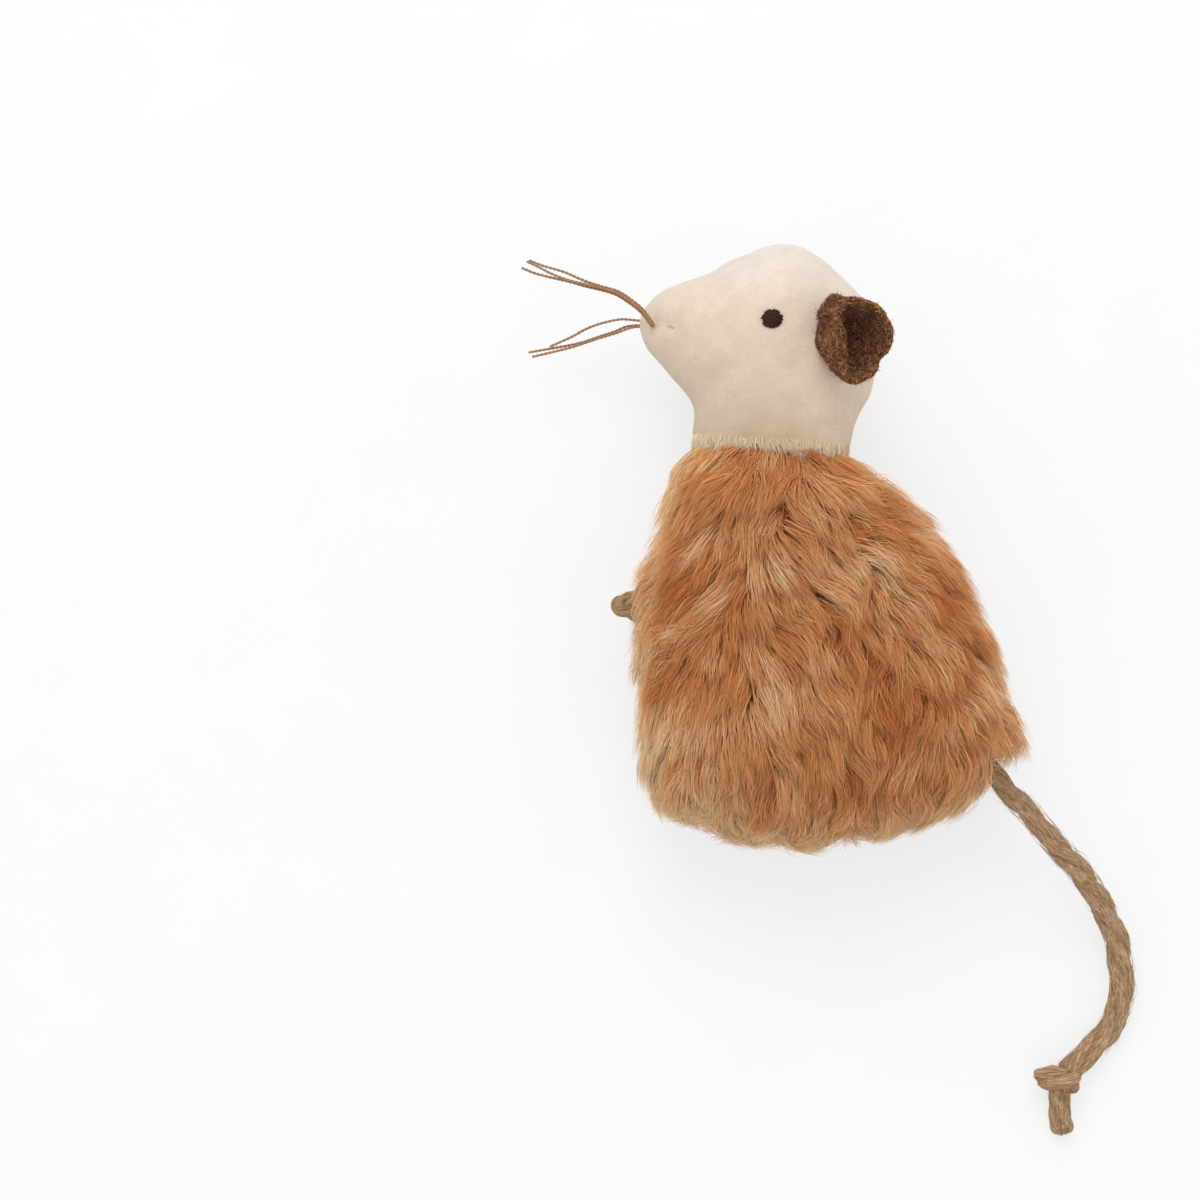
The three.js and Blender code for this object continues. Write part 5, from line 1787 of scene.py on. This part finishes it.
# The nylon strands are painted darker at the root, as shade.
NYLON_STRAND = strand_finish(
    "nylon strand", tints((0.0, 150, 112, 78), (1.0, 206, 170, 132)), shades((0.0, 0.85), (0.5, 1)),
    roughness=0.5,
)
strip_tape("loop_strip_tape", LOOP_TAPE_Z, "loop_strip")
hook_tape = strip_tape("hook_strip_tape", HOOK_TAPE_Z, "hook_strip")
loops = bent_strands(
    "loop_strip_loops", base_z=18.15, rise=0.4, count=1300, bend=0.45, spread=3.0, seed=131
)
hooks = bent_strands(
    "hook_strip_hooks", base_z=19.65, rise=-0.55, count=900, bend=0.3, spread=0.1, seed=132
)
for piece in (hook_tape, hooks):
    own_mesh(piece)
print("closing strips with", len(loops.data.polygons) + len(hooks.data.polygons), "faces of hooks and loops")

# %% [markdown]
# The sachet is a small bag of white spunbond web, folded twice to go in the pocket. The web is pressed with a
# lattice of little diamonds and lets the dried herb show through as grey-green. Folded, its section is a U.
# The web follows that line with slight creases, and the herb is a lumpy filling between the two layers.

# %% Sachet
SACHET_WIDTH = 25.0
SACHET_DEPTH = 32.5
SACHET_FRONT = -42.5
SACHET_MIDDLE_Z = 23.4
SACHET_HALF = 4.1
INNER_HALF = 0.62
SACHET_LEFT = MOUTH_MIDDLE - SACHET_WIDTH / 2
FOLD_X = MOUTH_MIDDLE + SACHET_WIDTH / 2 - SACHET_HALF
WEB_GRID = (56, 90)
WEB_WALL = 0.2
EMBOSS_PITCH = 1.8
BAND_SPAN = 0.314
HERB_HALVES = (3.3, 1.1)
HERB_BORDER = 4.3
HERB_GRID = (34, 70)


def web_finish(name, herb_share):
    """White web with embossed diamonds: two sets of bands at right angles, on the web's own map in
    millimetres. Their crossings are pressed, clear and darker. The herb below shades it grey-green."""
    finish = Finish(name, roughness=0.8, specular_ior_level=0.35, sheen_weight=0.1)
    place = finish.map_place("web")
    bands = []
    for turn in (45, -45):
        slanted = finish.node("Mapping", {"Vector": place, "Rotation": (0, 0, math.radians(turn))})
        bands.append(finish.bands(slanted, BAND_SPAN / EMBOSS_PITCH * 2))
    dots = finish.math("MULTIPLY", *bands)
    cloud = finish.noise(place, 0.22, 5, 0.65)
    fibres = finish.noise(finish.map_place("web", (3, 0.4, 1)), 1.2, 5, 0.7, 0.6)
    web = finish.ramp(fibres, tints((0.3, 216, 220, 216), (0.7, 240, 242, 239)))
    herb = finish.ramp(cloud, tints((0.3, 132, 142, 128), (0.55, 170, 178, 166), (0.75, 206, 206, 190)))
    body = finish.mix(herb_share, web, herb)
    finish.color(finish.shaded(body, dots, shades((0.5, 1), (0.85, 0.8, 0.82, 0.81))))
    return finish.bump(dots, -0.6, 0.0002).material


def herb_finish():
    """Dried chopped leaf: grey-green and straw flecks of a millimetre."""
    finish = Finish("dried herb", roughness=1.0)
    flecks = finish.noise(finish.object_place(MILLIMETRES), 0.9, 6, 0.8, 1.0)
    greens = tints((0.28, 70, 76, 56), (0.48, 118, 126, 100), (0.62, 152, 156, 128), (0.78, 206, 196, 160))
    return finish.patterned(flecks, greens, 1.0, 0.0008)


def folded_line(half, count):
    """A U on its side, from the upper edge on the left, along, round a half circle and back to the lower
    edge."""
    turn = np.linspace(np.pi / 2, -np.pi / 2, 15)
    bend = np.stack([FOLD_X + half * np.cos(turn), half * np.sin(turn)], axis=1)
    return evenly(np.concatenate([[[SACHET_LEFT, half]], bend, [[SACHET_LEFT, -half]]]), count)


def folded_web(half, seed, crease):
    """The U carried along the depth as a grid of points, pushed in and out by creases. The map is the flat
    web's own millimetres."""
    rows, columns = WEB_GRID
    line = folded_line(half, columns)
    depth = np.linspace(0, SACHET_DEPTH, rows)
    x, y, z = np.broadcast_arrays(line[None, :, 0], SACHET_FRONT + depth[:, None], line[None, :, 1])
    points = np.stack([x, y, SACHET_MIDDLE_Z + z], axis=-1).reshape(-1, 3)
    along = np.gradient(line, axis=0)
    out = np.tile(unit(np.stack([-along[:, 1], along[:, 0]], axis=1)), (rows, 1))
    push = crease * (0.6 * waves(points, 9.0, seed) + 0.4 * waves(points, 3.5, seed + 1)) - crease
    points = points + push[:, None] * np.stack([out[:, 0], np.zeros(len(out)), out[:, 1]], axis=1)
    quads = grid_faces(rows, columns, False)
    places = np.stack([lengths_along(line)[quads % columns], depth[quads // columns]], axis=-1)
    return points, quads, places


def herb_filling():
    """The space between an outer and an inner U, carried along the depth and made lumpy by waves."""
    rows, columns = HERB_GRID
    outer, inner = (folded_line(half, columns) for half in HERB_HALVES)
    profile = np.concatenate([outer, inner[::-1]])
    depth = np.linspace(SACHET_FRONT + HERB_BORDER, SACHET_FRONT + SACHET_DEPTH - HERB_BORDER, rows)
    x, y, z = np.broadcast_arrays(profile[None, :, 0], depth[:, None], SACHET_MIDDLE_Z + profile[None, :, 1])
    points = np.stack([x, y, z], axis=-1).reshape(-1, 3)
    return lumpy(points, (0.16, 2.4, 151)), grid_faces(rows, 2 * columns, True)


for layer, half, crease, share, side in (
    ("outer", SACHET_HALF, 0.16, 0.55, -1), ("inner", INNER_HALF, 0.06, 0.3, 1),
):
    points, quads, places = folded_web(half, 141, crease)
    finish = web_finish(f"{layer} web", share)
    node = f"sachet_{layer}_web"
    web = mesh_piece(f"{node}_cloth", points, [quads], finish, "sachet", node, "web", [places])
    give_wall(web, WEB_WALL).modifiers["wall"].offset = side
    flat = (cord_length(folded_line(half, WEB_GRID[1])) * MM, SACHET_DEPTH * MM)
    print(web.name, len(web.data.polygons), "faces")

points, quads = herb_filling()
herb = mesh_piece("catnip_herb", points, [quads], herb_finish(), "sachet", "catnip_fill")
reshaped(herb, fill_holes)
print("herb", len(herb.data.polygons), "faces")
